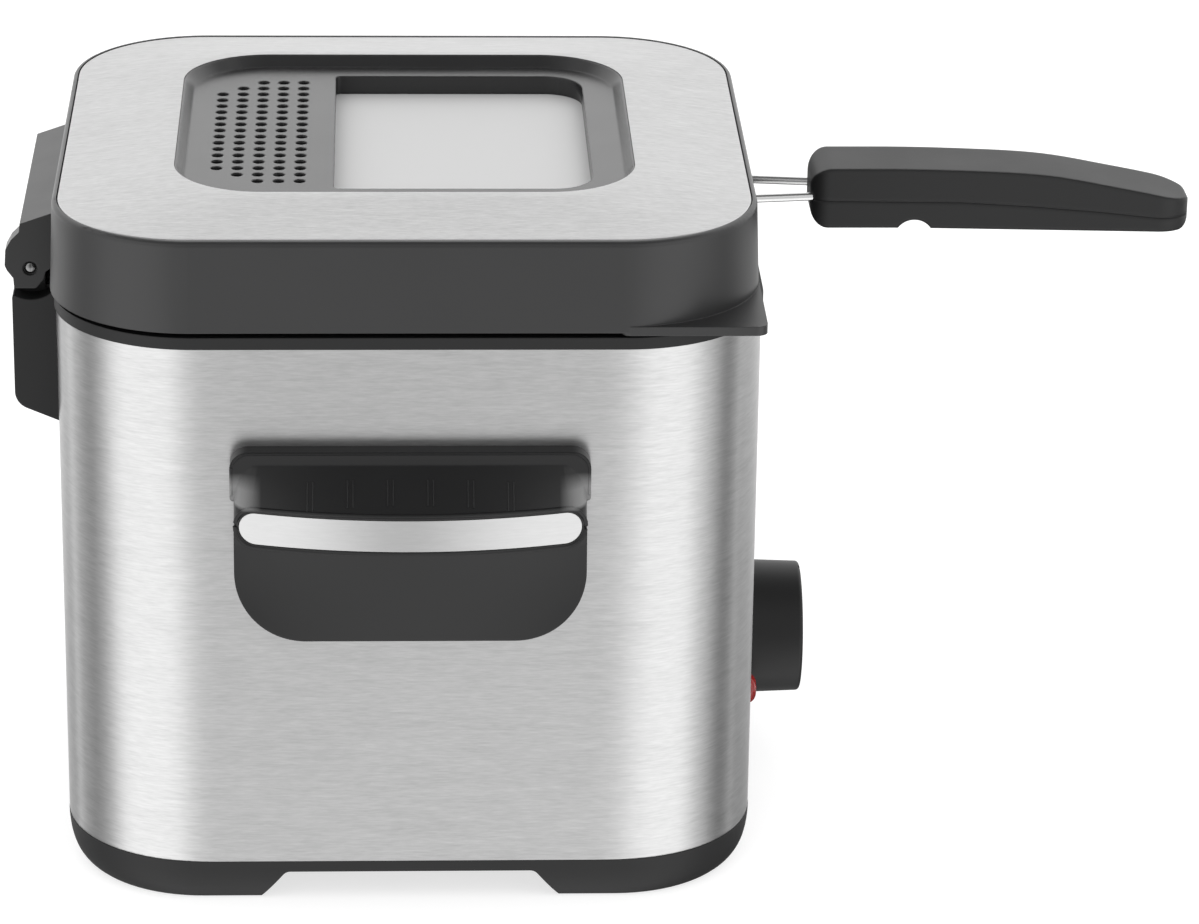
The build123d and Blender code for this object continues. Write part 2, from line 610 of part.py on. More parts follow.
with BuildPart() as hinge_base:
    side_profile([(-BODY_X, HINGE_BASE_BOTTOM), (HINGE_LEFT, HINGE_BASE_BOTTOM + 5.6),
                  (HINGE_LEFT, HINGE_BASE_TOP), (-BODY_X, HINGE_BASE_TOP)], -HINGE_Y, HINGE_FAR,
                 corners=[(HINGE_LEFT, HINGE_BASE_TOP, 1.6), (HINGE_LEFT, HINGE_BASE_BOTTOM + 5.6, 5.4)])
    for low, high in ((-HINGE_Y - 1, -LUG_INNER_Y + 0.8), (LUG_INNER_Y - 0.8, HINGE_FAR + 1)):
        bar((PIN_X, low, PIN_Z), (0, 1, 0), LUG_SWING, high - low, Mode.SUBTRACT)
    box((-109.6, -BARREL_HALF, 155.0), (-102.2, BARREL_HALF, PIN_Z))
    bar((PIN_X, -BARREL_HALF, PIN_Z), (0, 1, 0), BARREL_RADIUS, 2 * BARREL_HALF)
    bar((PIN_X, -HINGE_Y, PIN_Z), (0, 1, 0), PIN_RADIUS + PIN_CLEARANCE, 2 * HINGE_Y, Mode.SUBTRACT)
hinge_base.part.label = "hinge_base"
export_step(hinge_base.part, "parts/hinge_base.step")

with BuildPart() as hinge_screws:
    for y in (-24.0, 24.0):
        for z in (133.0, 153.0):
            bar((-BODY_X + SHEET, y, z), (1, 0, 0), 3.4, 2.2)
hinge_screws.part.label = "hinge_screws"
export_step(hinge_screws.part, "parts/hinge_screws.step")

with BuildPart() as lid_outside:
    lofted([(LID_BOTTOM, LID_X + LID_DRAFT, LID_Y + LID_DRAFT, LID_CORNER + LID_DRAFT),
            (LID_TOP, LID_X, LID_Y, LID_CORNER)], centre_x=LID_CENTRE_X)

LUG_NEAR = [(-96.0, 187.0), (-108.5, 182.6), (-108.8, 180.1), (-111.1, 177.8), (-112.7, 174.9),
            (-113.0, 170.3), (-112.4, 168.9), (-110.7, 166.6), (-110.5, 163.6), (-104.4, 163.6),
            (-102.3, 166.2), (-101.6, 168.5), (-99.9, 169.7), (-98.0, 172.0), (-96.0, 172.0)]
LUG_FAR = [(-96.0, 187.0), (-108.5, 182.6), (-108.9, 176.0), (-110.5, 172.0), (-110.5, 165.6),
           (-108.5, 163.6), (-104.4, 163.6), (-102.3, 166.2), (-101.6, 168.5), (-99.9, 169.7),
           (-98.0, 172.0), (-96.0, 172.0)]
COVER = [(-96.0, 187.0), (-108.5, 182.6), (-109.2, 174.0), (-96.0, 174.0)]
PIN_SINK = 0.35          # how much wider the hole's mouth is at the seen end of the pin

with BuildPart() as lid_hinge_bracket:
    side_profile(COVER, -HINGE_Y, HINGE_FAR)
    bar((PIN_X, -LUG_INNER_Y, PIN_Z), (0, 1, 0), BARREL_RADIUS + 1.0, 2 * LUG_INNER_Y, Mode.SUBTRACT)
    side_profile(LUG_NEAR, -HINGE_Y, -LUG_INNER_Y,
                 corners=[(-112.7, 174.9, 1.2), (-113.0, 170.3, 1.2), (-104.4, 163.6, 1.2)])
    side_profile(LUG_FAR, LUG_INNER_Y, HINGE_FAR)
    add(lid_outside.part, mode=Mode.SUBTRACT)
    bar((PIN_X, -PIN_HALF, PIN_Z), (0, 1, 0), PIN_RADIUS, 2 * PIN_HALF, Mode.SUBTRACT)
    bar((PIN_X, -HINGE_Y - 1, PIN_Z), (0, 1, 0), PIN_RADIUS + PIN_SINK, HINGE_Y - PIN_HALF + 1,
        Mode.SUBTRACT)
lid_hinge_bracket.part.label = "lid_hinge_bracket"
export_step(lid_hinge_bracket.part, "parts/lid_hinge_bracket.step")

with BuildPart() as hinge_pin:
    bar((PIN_X, -PIN_HALF, PIN_Z), (0, 1, 0), PIN_RADIUS, 2 * PIN_HALF)
    chamfer(hinge_pin.edges(), length=0.4)
hinge_pin.part.label = "hinge_pin"
export_step(hinge_pin.part, "parts/hinge_pin.step")

# ---------------------------------------------------------------- lid

NOTCH_HALF = 13.2        # half width of the notch for the handle wires
NOTCH_TOP = 186.2
EAR_BOTTOM = 170.6
EAR_TOP = 173.2
EAR_CORNER = 3.0
LINER_Z = 186.2
LINER_X = 86.6
LINER_Y = 82.6
LINER_CORNER = 32.0
LINER_SHEET = 0.8
SEAL_BOTTOM = 170.1
SEAL_THICK = 2.4
SEAL_LIP = 4.0
POST_PLACES = [(x, y) for x in (-76.0, 70.0) for y in (-60.0, 60.0)]
POST_RADIUS = 4.0
EAR_SIZE = 40.0

with BuildPart() as lid_frame:
    add(lid_outside.part)
    fillet(lid_frame.edges().group_by(Axis.Z)[-1], radius=1.5)
    block(LID_BOTTOM, DECK_BOTTOM, LID_X - LID_WALL, LID_Y - LID_WALL, LID_CORNER - LID_WALL,
          Mode.SUBTRACT, LID_CENTRE_X)
    block(DECK_TOP, LID_TOP, LID_X - PLATE_INSET_X + 0.4, LID_Y - PLATE_INSET_Y + 0.4,
          LID_CORNER - PLATE_INSET_X, Mode.SUBTRACT, LID_CENTRE_X)
    block(DECK_BOTTOM, DECK_TOP, OPENING_X - 3, OPENING_Y - 3, DECK_OPENING_CORNER, Mode.SUBTRACT,
          LID_CENTRE_X)
    with BuildSketch(Plane.XY.offset(EAR_BOTTOM)) as ears:
        for side in (-1, 1):
            with Locations((LID_CENTRE_X + LID_X + LID_DRAFT - EAR_SIZE / 2,
                            side * (LID_Y + LID_DRAFT - EAR_SIZE / 2))):
                RectangleRounded(EAR_SIZE, EAR_SIZE, EAR_CORNER)
        with Locations((LID_CENTRE_X, 0)):
            RectangleRounded(2 * (LID_X - LID_WALL), 2 * (LID_Y - LID_WALL), LID_CORNER - LID_WALL,
                             mode=Mode.SUBTRACT)
    extrude(ears.sketch, amount=EAR_TOP - EAR_BOTTOM)
    with Locations(*[(x, y, (LINER_Z + LINER_SHEET + DECK_BOTTOM) / 2) for x, y in POST_PLACES]):
        Cylinder(POST_RADIUS, DECK_BOTTOM - LINER_Z - LINER_SHEET)
    box((LID_X - 16, -NOTCH_HALF, LID_BOTTOM - 2), (LID_X + 5, NOTCH_HALF, NOTCH_TOP), Mode.SUBTRACT)
lid_frame.part.label = "lid_frame"
export_step(lid_frame.part, "parts/lid_frame.step")

PLATE_X = LID_X - PLATE_INSET_X
PLATE_Y = LID_Y - PLATE_INSET_Y
PLATE_CORNER = LID_CORNER - 2.0
PLATE_EDGE = 196.6       # the plate's edge sits just under the rim of the frame


def crown(inset):
    """Adds the crowned form of the plate, or the same form set in by a thickness."""
    top = LID_TOP + PLATE_RISE - inset
    lofted([(PLATE_EDGE - inset, PLATE_X - inset, PLATE_Y - inset, PLATE_CORNER - inset),
            (PLATE_EDGE + 2.0 - inset, PLATE_X - 12.0, PLATE_Y - 11.0, PLATE_CORNER - 6.0),
            (top, OPENING_X + 1.0, OPENING_Y + 1.0, OPENING_CORNER + 1.0)], centre_x=LID_CENTRE_X)
    block(DECK_TOP, PLATE_EDGE - inset, PLATE_X - inset, PLATE_Y - inset, PLATE_CORNER - inset,
          centre_x=LID_CENTRE_X)


with BuildPart() as crown_underside:
    crown(PLATE_THICK)

with BuildPart() as lid_plate:
    crown(0.0)
    add(crown_underside.part, mode=Mode.SUBTRACT)
    block(DECK_TOP, LID_TOP + PLATE_RISE + 1, OPENING_X, OPENING_Y, OPENING_CORNER, Mode.SUBTRACT,
          LID_CENTRE_X)
lid_plate.part.label = "lid_plate"
export_step(lid_plate.part, "parts/lid_plate.step")

DISH_GAP = 0.3
DISH_X = OPENING_X - DISH_GAP
DISH_Y = OPENING_Y - DISH_GAP
DISH_CORNER = OPENING_CORNER - DISH_GAP
DISH_RIM = 200.4
DISH_UNDER = DISH_FLOOR - 2.0
WINDOW_FRAME = 2.0
WINDOW_FRONT_CORNER = 11.0
WINDOW_BACK_CORNER = 1.5
WINDOW_MIDDLE_X = (WINDOW_LOW_X + WINDOW_HIGH_X) / 2
WINDOW_HALF_X = (WINDOW_HIGH_X - WINDOW_LOW_X) / 2

with BuildPart() as lid_insert:
    block(DECK_TOP, DISH_RIM, DISH_X, DISH_Y, DISH_CORNER, centre_x=LID_CENTRE_X)
    block(DECK_TOP, DECK_TOP + 1.4, DISH_X + 4, DISH_Y + 4, DISH_CORNER + 4, centre_x=LID_CENTRE_X)
    lofted([(DISH_FLOOR, DISH_X - DISH_SLOPE, DISH_Y - DISH_SLOPE, DISH_CORNER - DISH_SLOPE),
            (DISH_RIM, DISH_X - 0.5, DISH_Y - 0.5, DISH_CORNER - 0.5)], Mode.SUBTRACT, LID_CENTRE_X)
    block(DECK_TOP, DISH_UNDER, DISH_X - 1.4, DISH_Y - 1.4, DISH_CORNER - 1.4, Mode.SUBTRACT,
          LID_CENTRE_X)
    with BuildSketch(Plane.XY.offset(GLASS_TOP)) as window_walls:
        with Locations((WINDOW_MIDDLE_X, 0)):
            Rectangle(2 * (WINDOW_HALF_X + WINDOW_FRAME), 2 * (WINDOW_Y + WINDOW_FRAME))
    extrude(window_walls.sketch, amount=DISH_UNDER - GLASS_TOP)
    with BuildSketch(Plane.XY.offset(GLASS_TOP)) as window_hole:
        with Locations((WINDOW_MIDDLE_X, 0)):
            Rectangle(2 * WINDOW_HALF_X, 2 * WINDOW_Y)
        fillet(window_hole.vertices().group_by(Axis.X)[-1], radius=WINDOW_FRONT_CORNER)
        fillet(window_hole.vertices().group_by(Axis.X)[0], radius=WINDOW_BACK_CORNER)
    extrude(window_hole.sketch, amount=10, mode=Mode.SUBTRACT)
    with BuildSketch(Plane.XY.offset(DISH_UNDER)) as vents:
        for column, rows in enumerate(VENT_ROWS):
            with Locations((VENT_FIRST_X + column * VENT_PITCH_X, 0)):
                with GridLocations(0, VENT_PITCH_Y, 1, rows):
                    Circle(VENT_RADIUS)
    extrude(vents.sketch, amount=2.0, mode=Mode.SUBTRACT)
lid_insert.part.label = "lid_insert"
export_step(lid_insert.part, "parts/lid_insert.step")

GLASS_MARGIN = 3.4
RETAINER_MARGIN = 6.0
RETAINER_BOTTOM = 187.4

with BuildPart() as window_glass:
    box((WINDOW_LOW_X - GLASS_MARGIN, -WINDOW_Y - GLASS_MARGIN, GLASS_TOP - GLASS_THICK),
        (WINDOW_HIGH_X + GLASS_MARGIN, WINDOW_Y + GLASS_MARGIN, GLASS_TOP))
    fillet(window_glass.edges().filter_by(Axis.Z), radius=3.0)
window_glass.part.label = "window_glass"
export_step(window_glass.part, "parts/window_glass.step")

with BuildPart() as window_retainer:
    box((WINDOW_LOW_X - RETAINER_MARGIN, -WINDOW_Y - RETAINER_MARGIN, RETAINER_BOTTOM),
        (WINDOW_HIGH_X + RETAINER_MARGIN, WINDOW_Y + RETAINER_MARGIN, GLASS_TOP))
    fillet(window_retainer.edges().filter_by(Axis.Z), radius=4.0)
    box((WINDOW_LOW_X - GLASS_MARGIN - 0.3, -WINDOW_Y - GLASS_MARGIN - 0.3, GLASS_TOP - GLASS_THICK),
        (WINDOW_HIGH_X + GLASS_MARGIN + 0.3, WINDOW_Y + GLASS_MARGIN + 0.3, GLASS_TOP), Mode.SUBTRACT)
    box((WINDOW_LOW_X, -WINDOW_Y, RETAINER_BOTTOM), (WINDOW_HIGH_X, WINDOW_Y, GLASS_TOP), Mode.SUBTRACT)
window_retainer.part.label = "window_retainer"
export_step(window_retainer.part, "parts/window_retainer.step")

CASSETTE_LOW_X = -58.5
CASSETTE_HIGH_X = -28.2
CASSETTE_Y = 49.0
CASSETTE_BOTTOM = 187.4
CASSETTE_WALL = 1.2
SLOT_PITCH = 8.0
SLOT_COUNT = 11
SLOT_LENGTH = 22.0
SLOT_WIDTH = 4.0


def steam_slots(height):
    """Cuts a row of slots for the steam through a sheet that starts at a height."""
    with BuildSketch(Plane.XY.offset(height)) as slots:
        with Locations(((CASSETTE_LOW_X + CASSETTE_HIGH_X) / 2, 0)):
            with GridLocations(0, SLOT_PITCH, 1, SLOT_COUNT):
                SlotOverall(SLOT_LENGTH, SLOT_WIDTH)
    extrude(slots.sketch, amount=1.0, mode=Mode.SUBTRACT)


with BuildPart() as filter_cassette:
    box((CASSETTE_LOW_X, -CASSETTE_Y, CASSETTE_BOTTOM), (CASSETTE_HIGH_X, CASSETTE_Y, DISH_UNDER - 0.2))
    box((CASSETTE_LOW_X + CASSETTE_WALL, -CASSETTE_Y + CASSETTE_WALL, CASSETTE_BOTTOM + 1.0),
        (CASSETTE_HIGH_X - CASSETTE_WALL, CASSETTE_Y - CASSETTE_WALL, DISH_UNDER), Mode.SUBTRACT)
    steam_slots(CASSETTE_BOTTOM)
filter_cassette.part.label = "filter_cassette"
export_step(filter_cassette.part, "parts/filter_cassette.step")

FILTER_MARGIN = CASSETTE_WALL + 0.3

with BuildPart() as filter_pad:
    box((CASSETTE_LOW_X + FILTER_MARGIN, -CASSETTE_Y + FILTER_MARGIN, CASSETTE_BOTTOM + 1.1),
        (CASSETTE_HIGH_X - FILTER_MARGIN, CASSETTE_Y - FILTER_MARGIN, 192.6))
filter_pad.part.label = "filter_pad"
export_step(filter_pad.part, "parts/filter_pad.step")

with BuildPart() as filter_mesh:
    box((CASSETTE_LOW_X + FILTER_MARGIN, -CASSETTE_Y + FILTER_MARGIN, 192.7),
        (CASSETTE_HIGH_X - FILTER_MARGIN, CASSETTE_Y - FILTER_MARGIN, 193.5))
filter_mesh.part.label = "filter_mesh"
export_step(filter_mesh.part, "parts/filter_mesh.step")

with BuildPart() as lid_liner:
    block(LINER_Z, LINER_Z + LINER_SHEET, LINER_X, LINER_Y, LINER_CORNER, centre_x=LID_CENTRE_X)
    box((WINDOW_LOW_X, -WINDOW_Y, LINER_Z), (WINDOW_HIGH_X, WINDOW_Y, LINER_Z + 1), Mode.SUBTRACT)
    steam_slots(LINER_Z)
lid_liner.part.label = "lid_liner"
export_step(lid_liner.part, "parts/lid_liner.step")

# The seal is a silicone skirt under the liner's edge, open where the handle wires pass.
with BuildPart() as lid_seal:
    block(SEAL_BOTTOM, LINER_Z, LINER_X, LINER_Y, LINER_CORNER, centre_x=LID_CENTRE_X)
    block(SEAL_BOTTOM, LINER_Z, LINER_X - SEAL_THICK, LINER_Y - SEAL_THICK,
          LINER_CORNER - SEAL_THICK, Mode.SUBTRACT, LID_CENTRE_X)
    block(SEAL_BOTTOM, SEAL_BOTTOM + SEAL_LIP, LINER_X + 1.2, LINER_Y + 1.2, LINER_CORNER + 1.2,
          centre_x=LID_CENTRE_X)
    block(SEAL_BOTTOM, SEAL_BOTTOM + SEAL_LIP, LINER_X - SEAL_THICK, LINER_Y - SEAL_THICK,
          LINER_CORNER - SEAL_THICK, Mode.SUBTRACT, LID_CENTRE_X)
    box((LINER_X - 20, -NOTCH_HALF, SEAL_BOTTOM - 1), (LINER_X + 5, NOTCH_HALF, LINER_Z + 1),
        Mode.SUBTRACT)
lid_seal.part.label = "lid_seal"
export_step(lid_seal.part, "parts/lid_seal.step")

with BuildPart() as lid_screws:
    with Locations(*[(x, y, LINER_Z - 1.0) for x, y in POST_PLACES]):
        Cylinder(3.2, 2.0)
lid_screws.part.label = "lid_screws"
export_step(lid_screws.part, "parts/lid_screws.step")

# ---------------------------------------------------------------- basket

MESH_THICK = 1.0
RIM_WIRE = 1.7
FRAME_WIRE = 1.4
BASKET_BEND = 9.0
FRAME_PLACES = (-32.0, 32.0)

with BuildPart() as basket_hollow:
    block(BASKET_BOTTOM + MESH_THICK, BASKET_TOP + 1, BASKET_X - MESH_THICK, BASKET_Y - MESH_THICK,
          BASKET_CORNER - MESH_THICK)
    fillet(basket_hollow.edges().group_by(Axis.Z)[0], radius=BASKET_BEND)

with BuildPart() as basket_mesh:
    block(BASKET_BOTTOM, BASKET_TOP - RIM_WIRE, BASKET_X, BASKET_Y, BASKET_CORNER)
    fillet(basket_mesh.edges().group_by(Axis.Z)[0], radius=BASKET_BEND + MESH_THICK)
    add(basket_hollow.part, mode=Mode.SUBTRACT)
basket_mesh.part.label = "basket_mesh"
export_step(basket_mesh.part, "parts/basket_mesh.step")

with BuildPart() as basket_rim:
    with BuildLine() as rim_route:
        with BuildSketch(Plane.XY.offset(BASKET_TOP), mode=Mode.PRIVATE) as rim_outline:
            RectangleRounded(2 * BASKET_X, 2 * BASKET_Y, BASKET_CORNER)
        add(rim_outline.sketch.face().outer_wire().edges())
    with BuildSketch(Plane(origin=rim_route.wires()[0] @ 0, z_dir=rim_route.wires()[0] % 0)) as rim_section:
        Circle(RIM_WIRE)
    sweep(rim_section.sketch, path=rim_route.wires()[0])
basket_rim.part.label = "basket_rim"
export_step(basket_rim.part, "parts/basket_rim.step")

FRAME_OUT = FRAME_WIRE + 0.1

with BuildPart() as basket_frame:
    for x in FRAME_PLACES:
        reach = BASKET_Y + FRAME_OUT
        tube_run([(x, -reach, BASKET_TOP - 4), (x, -reach, BASKET_BOTTOM - FRAME_OUT),
                  (x, reach, BASKET_BOTTOM - FRAME_OUT), (x, reach, BASKET_TOP - 4)], 10.0, FRAME_WIRE)
basket_frame.part.label = "basket_frame"
export_step(basket_frame.part, "parts/basket_frame.step")

CLIP_X = BASKET_X + 4.4
WIRE_ROOT_Y = 11.6
WIRE_LID_Y = 9.0
WIRE_GRIP_Y = 7.0
WIRE_END = 140.0
WIRE_SLOPE = (WIRE_LID_Y - WIRE_GRIP_Y) / 16.0   # the wires draw together towards the grip

with BuildPart() as handle_wires:
    for side in (-1, 1):
        grip_y = side * (WIRE_GRIP_Y - WIRE_SLOPE * (WIRE_END - GRIP_START))
        tube_run([(CLIP_X, side * WIRE_ROOT_Y, 118.0), (CLIP_X, side * WIRE_ROOT_Y, WIRE_Z),
                  (WIRE_END, grip_y, WIRE_Z)], 7.0, WIRE_RADIUS)
handle_wires.part.label = "handle_wires"
export_step(handle_wires.part, "parts/handle_wires.step")

with BuildPart() as basket_bracket:
    box((BASKET_X + 0.1, -17, 122), (BASKET_X + 1.1, 17, 154))
    for side in (-1, 1):
        box((BASKET_X + 1.1, side * WIRE_ROOT_Y - 3.2, 128), (CLIP_X + 2.2, side * WIRE_ROOT_Y + 3.2, 148))
        bar((CLIP_X, side * WIRE_ROOT_Y, 120), (0, 0, 1), WIRE_RADIUS, 40, Mode.SUBTRACT)
basket_bracket.part.label = "basket_bracket"
export_step(basket_bracket.part, "parts/basket_bracket.step")

# ---------------------------------------------------------------- basket grip

SEAM_GAP = 0.1
GRIP_TOP = 189.4
GRIP_UNDER = 171.8
GRIP_TOP_CURVE = [(124.0, GRIP_TOP), (138.7, 189.4), (164.5, 188.7), (185.3, 187.1), (201.0, 184.2),
                  (215.6, 181.2), (222.0, 179.6)]
GRIP_TIP_TOP = 179.0
GRIP_TIP_UNDER = 170.4
NOTCH_ARC = [(149.4, 171.7), (144.7, 174.2), (140.0, GRIP_UNDER)]
GRIP_TIP_CORNER = 9.4    # plan radius at the tip
GRIP_ROOT_CORNER = 5.0   # plan radius at the wires
SEAM = [(110.0, 179.9), (157.8, 179.4), (178.2, 178.2), (198.9, 176.4), (213.4, 174.8), (230.0, 173.6)]

with BuildPart() as grip_body:
    with BuildSketch(Plane.XZ.offset(-GRIP_HALF_WIDTH)) as grip_side:
        with BuildLine():
            Spline(*GRIP_TOP_CURVE, tangents=[(1, 0), (1, -0.26)])
            Polyline(GRIP_TOP_CURVE[-1], (GRIP_END, GRIP_TIP_TOP), (GRIP_END, GRIP_TIP_UNDER),
                     NOTCH_ARC[0])
            ThreePointArc(*NOTCH_ARC)
            Polyline(NOTCH_ARC[-1], (GRIP_START, GRIP_UNDER), (GRIP_START, GRIP_TOP),
                     GRIP_TOP_CURVE[0])
        make_face()
        for x, z, radius in ((GRIP_START, GRIP_TOP, 6.0), (GRIP_START, GRIP_UNDER, 5.0),
                             (GRIP_END, GRIP_TIP_UNDER, 3.4), (GRIP_END, GRIP_TIP_TOP, 2.0)):
            fillet(grip_side.vertices().sort_by_distance((x, z, 0))[0], radius=radius)
    extrude(grip_side.sketch, amount=2 * GRIP_HALF_WIDTH)
    with BuildSketch(Plane.XY.offset(160)) as grip_plan:
        with Locations(((GRIP_START + GRIP_END) / 2, 0)):
            Rectangle(GRIP_END - GRIP_START, 2 * GRIP_HALF_WIDTH)
        fillet(grip_plan.vertices().group_by(Axis.X)[0], radius=GRIP_ROOT_CORNER)
        fillet(grip_plan.vertices().group_by(Axis.X)[-1], radius=GRIP_TIP_CORNER)
    extrude(grip_plan.sketch, amount=40, mode=Mode.INTERSECT)


def seam_side(above):
    """Adds the space above or below the seam between the grip's two halves."""
    far = 200.0 if above else 160.0
    shift = SEAM_GAP / 2 if above else -SEAM_GAP / 2
    side_profile([(x, z + shift) for x, z in SEAM] + [(SEAM[-1][0], far), (SEAM[0][0], far)],
                 -GRIP_HALF_WIDTH - 1, GRIP_HALF_WIDTH + 1)


with BuildPart() as above_seam:
    seam_side(True)

with BuildPart() as below_seam:
    seam_side(False)

with BuildPart() as grip_upper:
    add(grip_body.part)
    add(above_seam.part, mode=Mode.INTERSECT)
    add(handle_wires.part, mode=Mode.SUBTRACT)
grip_upper.part.label = "grip_upper"
export_step(grip_upper.part, "parts/grip_upper.step")

with BuildPart() as grip_lower:
    add(grip_body.part)
    add(below_seam.part, mode=Mode.INTERSECT)
    add(handle_wires.part, mode=Mode.SUBTRACT)
    for x in (128.0, 170.0):
        bar((x, 0, 160), (0, 0, 1), 3.0, 14.0, Mode.SUBTRACT)
grip_lower.part.label = "grip_lower"
export_step(grip_lower.part, "parts/grip_lower.step")

with BuildPart() as grip_screws:
    for x in (128.0, 170.0):
        bar((x, 0, 172.4), (0, 0, 1), 2.8, 1.6)
grip_screws.part.label = "grip_screws"
export_step(grip_screws.part, "parts/grip_screws.step")
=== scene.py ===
"""Looks for the compact deep fryer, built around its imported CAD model."""
import json
import math

import bpy
from mathutils import Matrix, Vector
from mathutils.bvhtree import BVHTree


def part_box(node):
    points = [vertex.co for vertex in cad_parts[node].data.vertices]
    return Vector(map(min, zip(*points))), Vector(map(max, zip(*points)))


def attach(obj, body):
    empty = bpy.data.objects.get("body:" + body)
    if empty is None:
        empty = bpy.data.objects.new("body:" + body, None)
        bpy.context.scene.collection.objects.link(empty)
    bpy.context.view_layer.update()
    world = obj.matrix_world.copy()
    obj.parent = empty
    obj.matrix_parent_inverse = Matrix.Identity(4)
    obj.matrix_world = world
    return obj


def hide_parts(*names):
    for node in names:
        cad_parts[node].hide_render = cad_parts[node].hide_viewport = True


MM = 0.001

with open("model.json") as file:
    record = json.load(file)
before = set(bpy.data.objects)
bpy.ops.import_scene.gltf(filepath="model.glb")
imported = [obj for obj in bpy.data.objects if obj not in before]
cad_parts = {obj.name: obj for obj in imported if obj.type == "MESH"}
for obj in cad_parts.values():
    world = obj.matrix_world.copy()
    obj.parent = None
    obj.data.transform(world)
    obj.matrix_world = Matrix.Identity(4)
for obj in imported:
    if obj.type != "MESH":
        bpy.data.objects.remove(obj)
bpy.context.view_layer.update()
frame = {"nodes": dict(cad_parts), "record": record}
NODES = frame["nodes"]


# ---------------------------------------------------------------- node helpers

class Shader:
    """A small helper that builds one node material."""

    def __init__(self, name):
        self.material = bpy.data.materials.new(name)
        self.material.use_nodes = True
        self.tree = self.material.node_tree
        self.tree.nodes.clear()
        self.output = self.add("ShaderNodeOutputMaterial")
        self.bsdf = self.add("ShaderNodeBsdfPrincipled")
        self.join(self.bsdf.outputs["BSDF"], self.output.inputs["Surface"])

    def add(self, kind, **settings):
        node = self.tree.nodes.new(kind)
        for key, value in settings.items():
            setattr(node, key, value)
        return node

    def join(self, source, target):
        self.tree.links.new(source, target)

    def coordinates(self, scale):
        """Object coordinates, stretched by a scale on each axis."""
        source = self.add("ShaderNodeTexCoord")
        mapping = self.add("ShaderNodeMapping")
        mapping.inputs["Scale"].default_value = scale
        self.join(source.outputs["Object"], mapping.inputs["Vector"])
        return mapping.outputs["Vector"]

    def noise(self, scale, stretch=(1, 1, 1), detail=4.0, roughness=0.55):
        node = self.add("ShaderNodeTexNoise")
        node.inputs["Scale"].default_value = scale
        node.inputs["Detail"].default_value = detail
        node.inputs["Roughness"].default_value = roughness
        self.join(self.coordinates(stretch), node.inputs["Vector"])
        return node.outputs["Fac"]

    def ramp(self, source, low, high, start=0.0, end=1.0):
        """Maps a value between two stops to a range of values."""
        node = self.add("ShaderNodeMapRange")
        node.inputs["From Min"].default_value = start
        node.inputs["From Max"].default_value = end
        node.inputs["To Min"].default_value = low
        node.inputs["To Max"].default_value = high
        self.join(source, node.inputs["Value"])
        return node.outputs["Result"]

    def tint(self, factor, dark, light):
        """Blends two colours by a factor."""
        node = self.add("ShaderNodeMix", data_type="RGBA")
        node.inputs["A"].default_value = (*dark, 1)
        node.inputs["B"].default_value = (*light, 1)
        self.join(factor, node.inputs["Factor"])
        return node.outputs["Result"]

    def bump(self, height, distance, strength=1.0, after=None):
        node = self.add("ShaderNodeBump")
        node.inputs["Strength"].default_value = strength
        node.inputs["Distance"].default_value = distance
        self.join(height, node.inputs["Height"])
        if after is not None:
            self.join(after, node.inputs["Normal"])
        return node.outputs["Normal"]

    def soft_edges(self, radius):
        """Rounds the look of hard edges on a moulded piece."""
        node = self.add("ShaderNodeBevel", samples=4)
        node.inputs["Radius"].default_value = radius
        return node.outputs["Normal"]


def scaled(colour, factor, lift=0.0):
    """A colour made lighter or darker, held inside the range that a surface can have."""
    return tuple(min(1.0, c * factor + lift) for c in colour)


def plastic_shader(name, colour, rough, grain=0.00003, edge=0.0004, specular=0.5):
    """Moulded plastic with a fine grain and slightly uneven gloss. Grain and edge are in metres."""
    shade_scale, gloss_scale, grain_scale = 9.0, 60.0, 2600.0
    lighter, lift, grain_strength = 1.12, 0.002, 0.35
    s = Shader(name)
    shade = s.noise(shade_scale, detail=3.0)
    s.join(s.tint(shade, colour, scaled(colour, lighter, lift)), s.bsdf.inputs["Base Color"])
    s.join(s.ramp(s.noise(gloss_scale), rough - 0.03, rough + 0.05), s.bsdf.inputs["Roughness"])
    s.bsdf.inputs["Specular IOR Level"].default_value = specular
    texture = s.noise(grain_scale, detail=2.0)
    rounded = s.soft_edges(edge) if edge else None
    s.join(s.bump(texture, grain, grain_strength, rounded), s.bsdf.inputs["Normal"])
    return s


def plastic(name, colour, rough, **finish):
    return plastic_shader(name, colour, rough, **finish).material


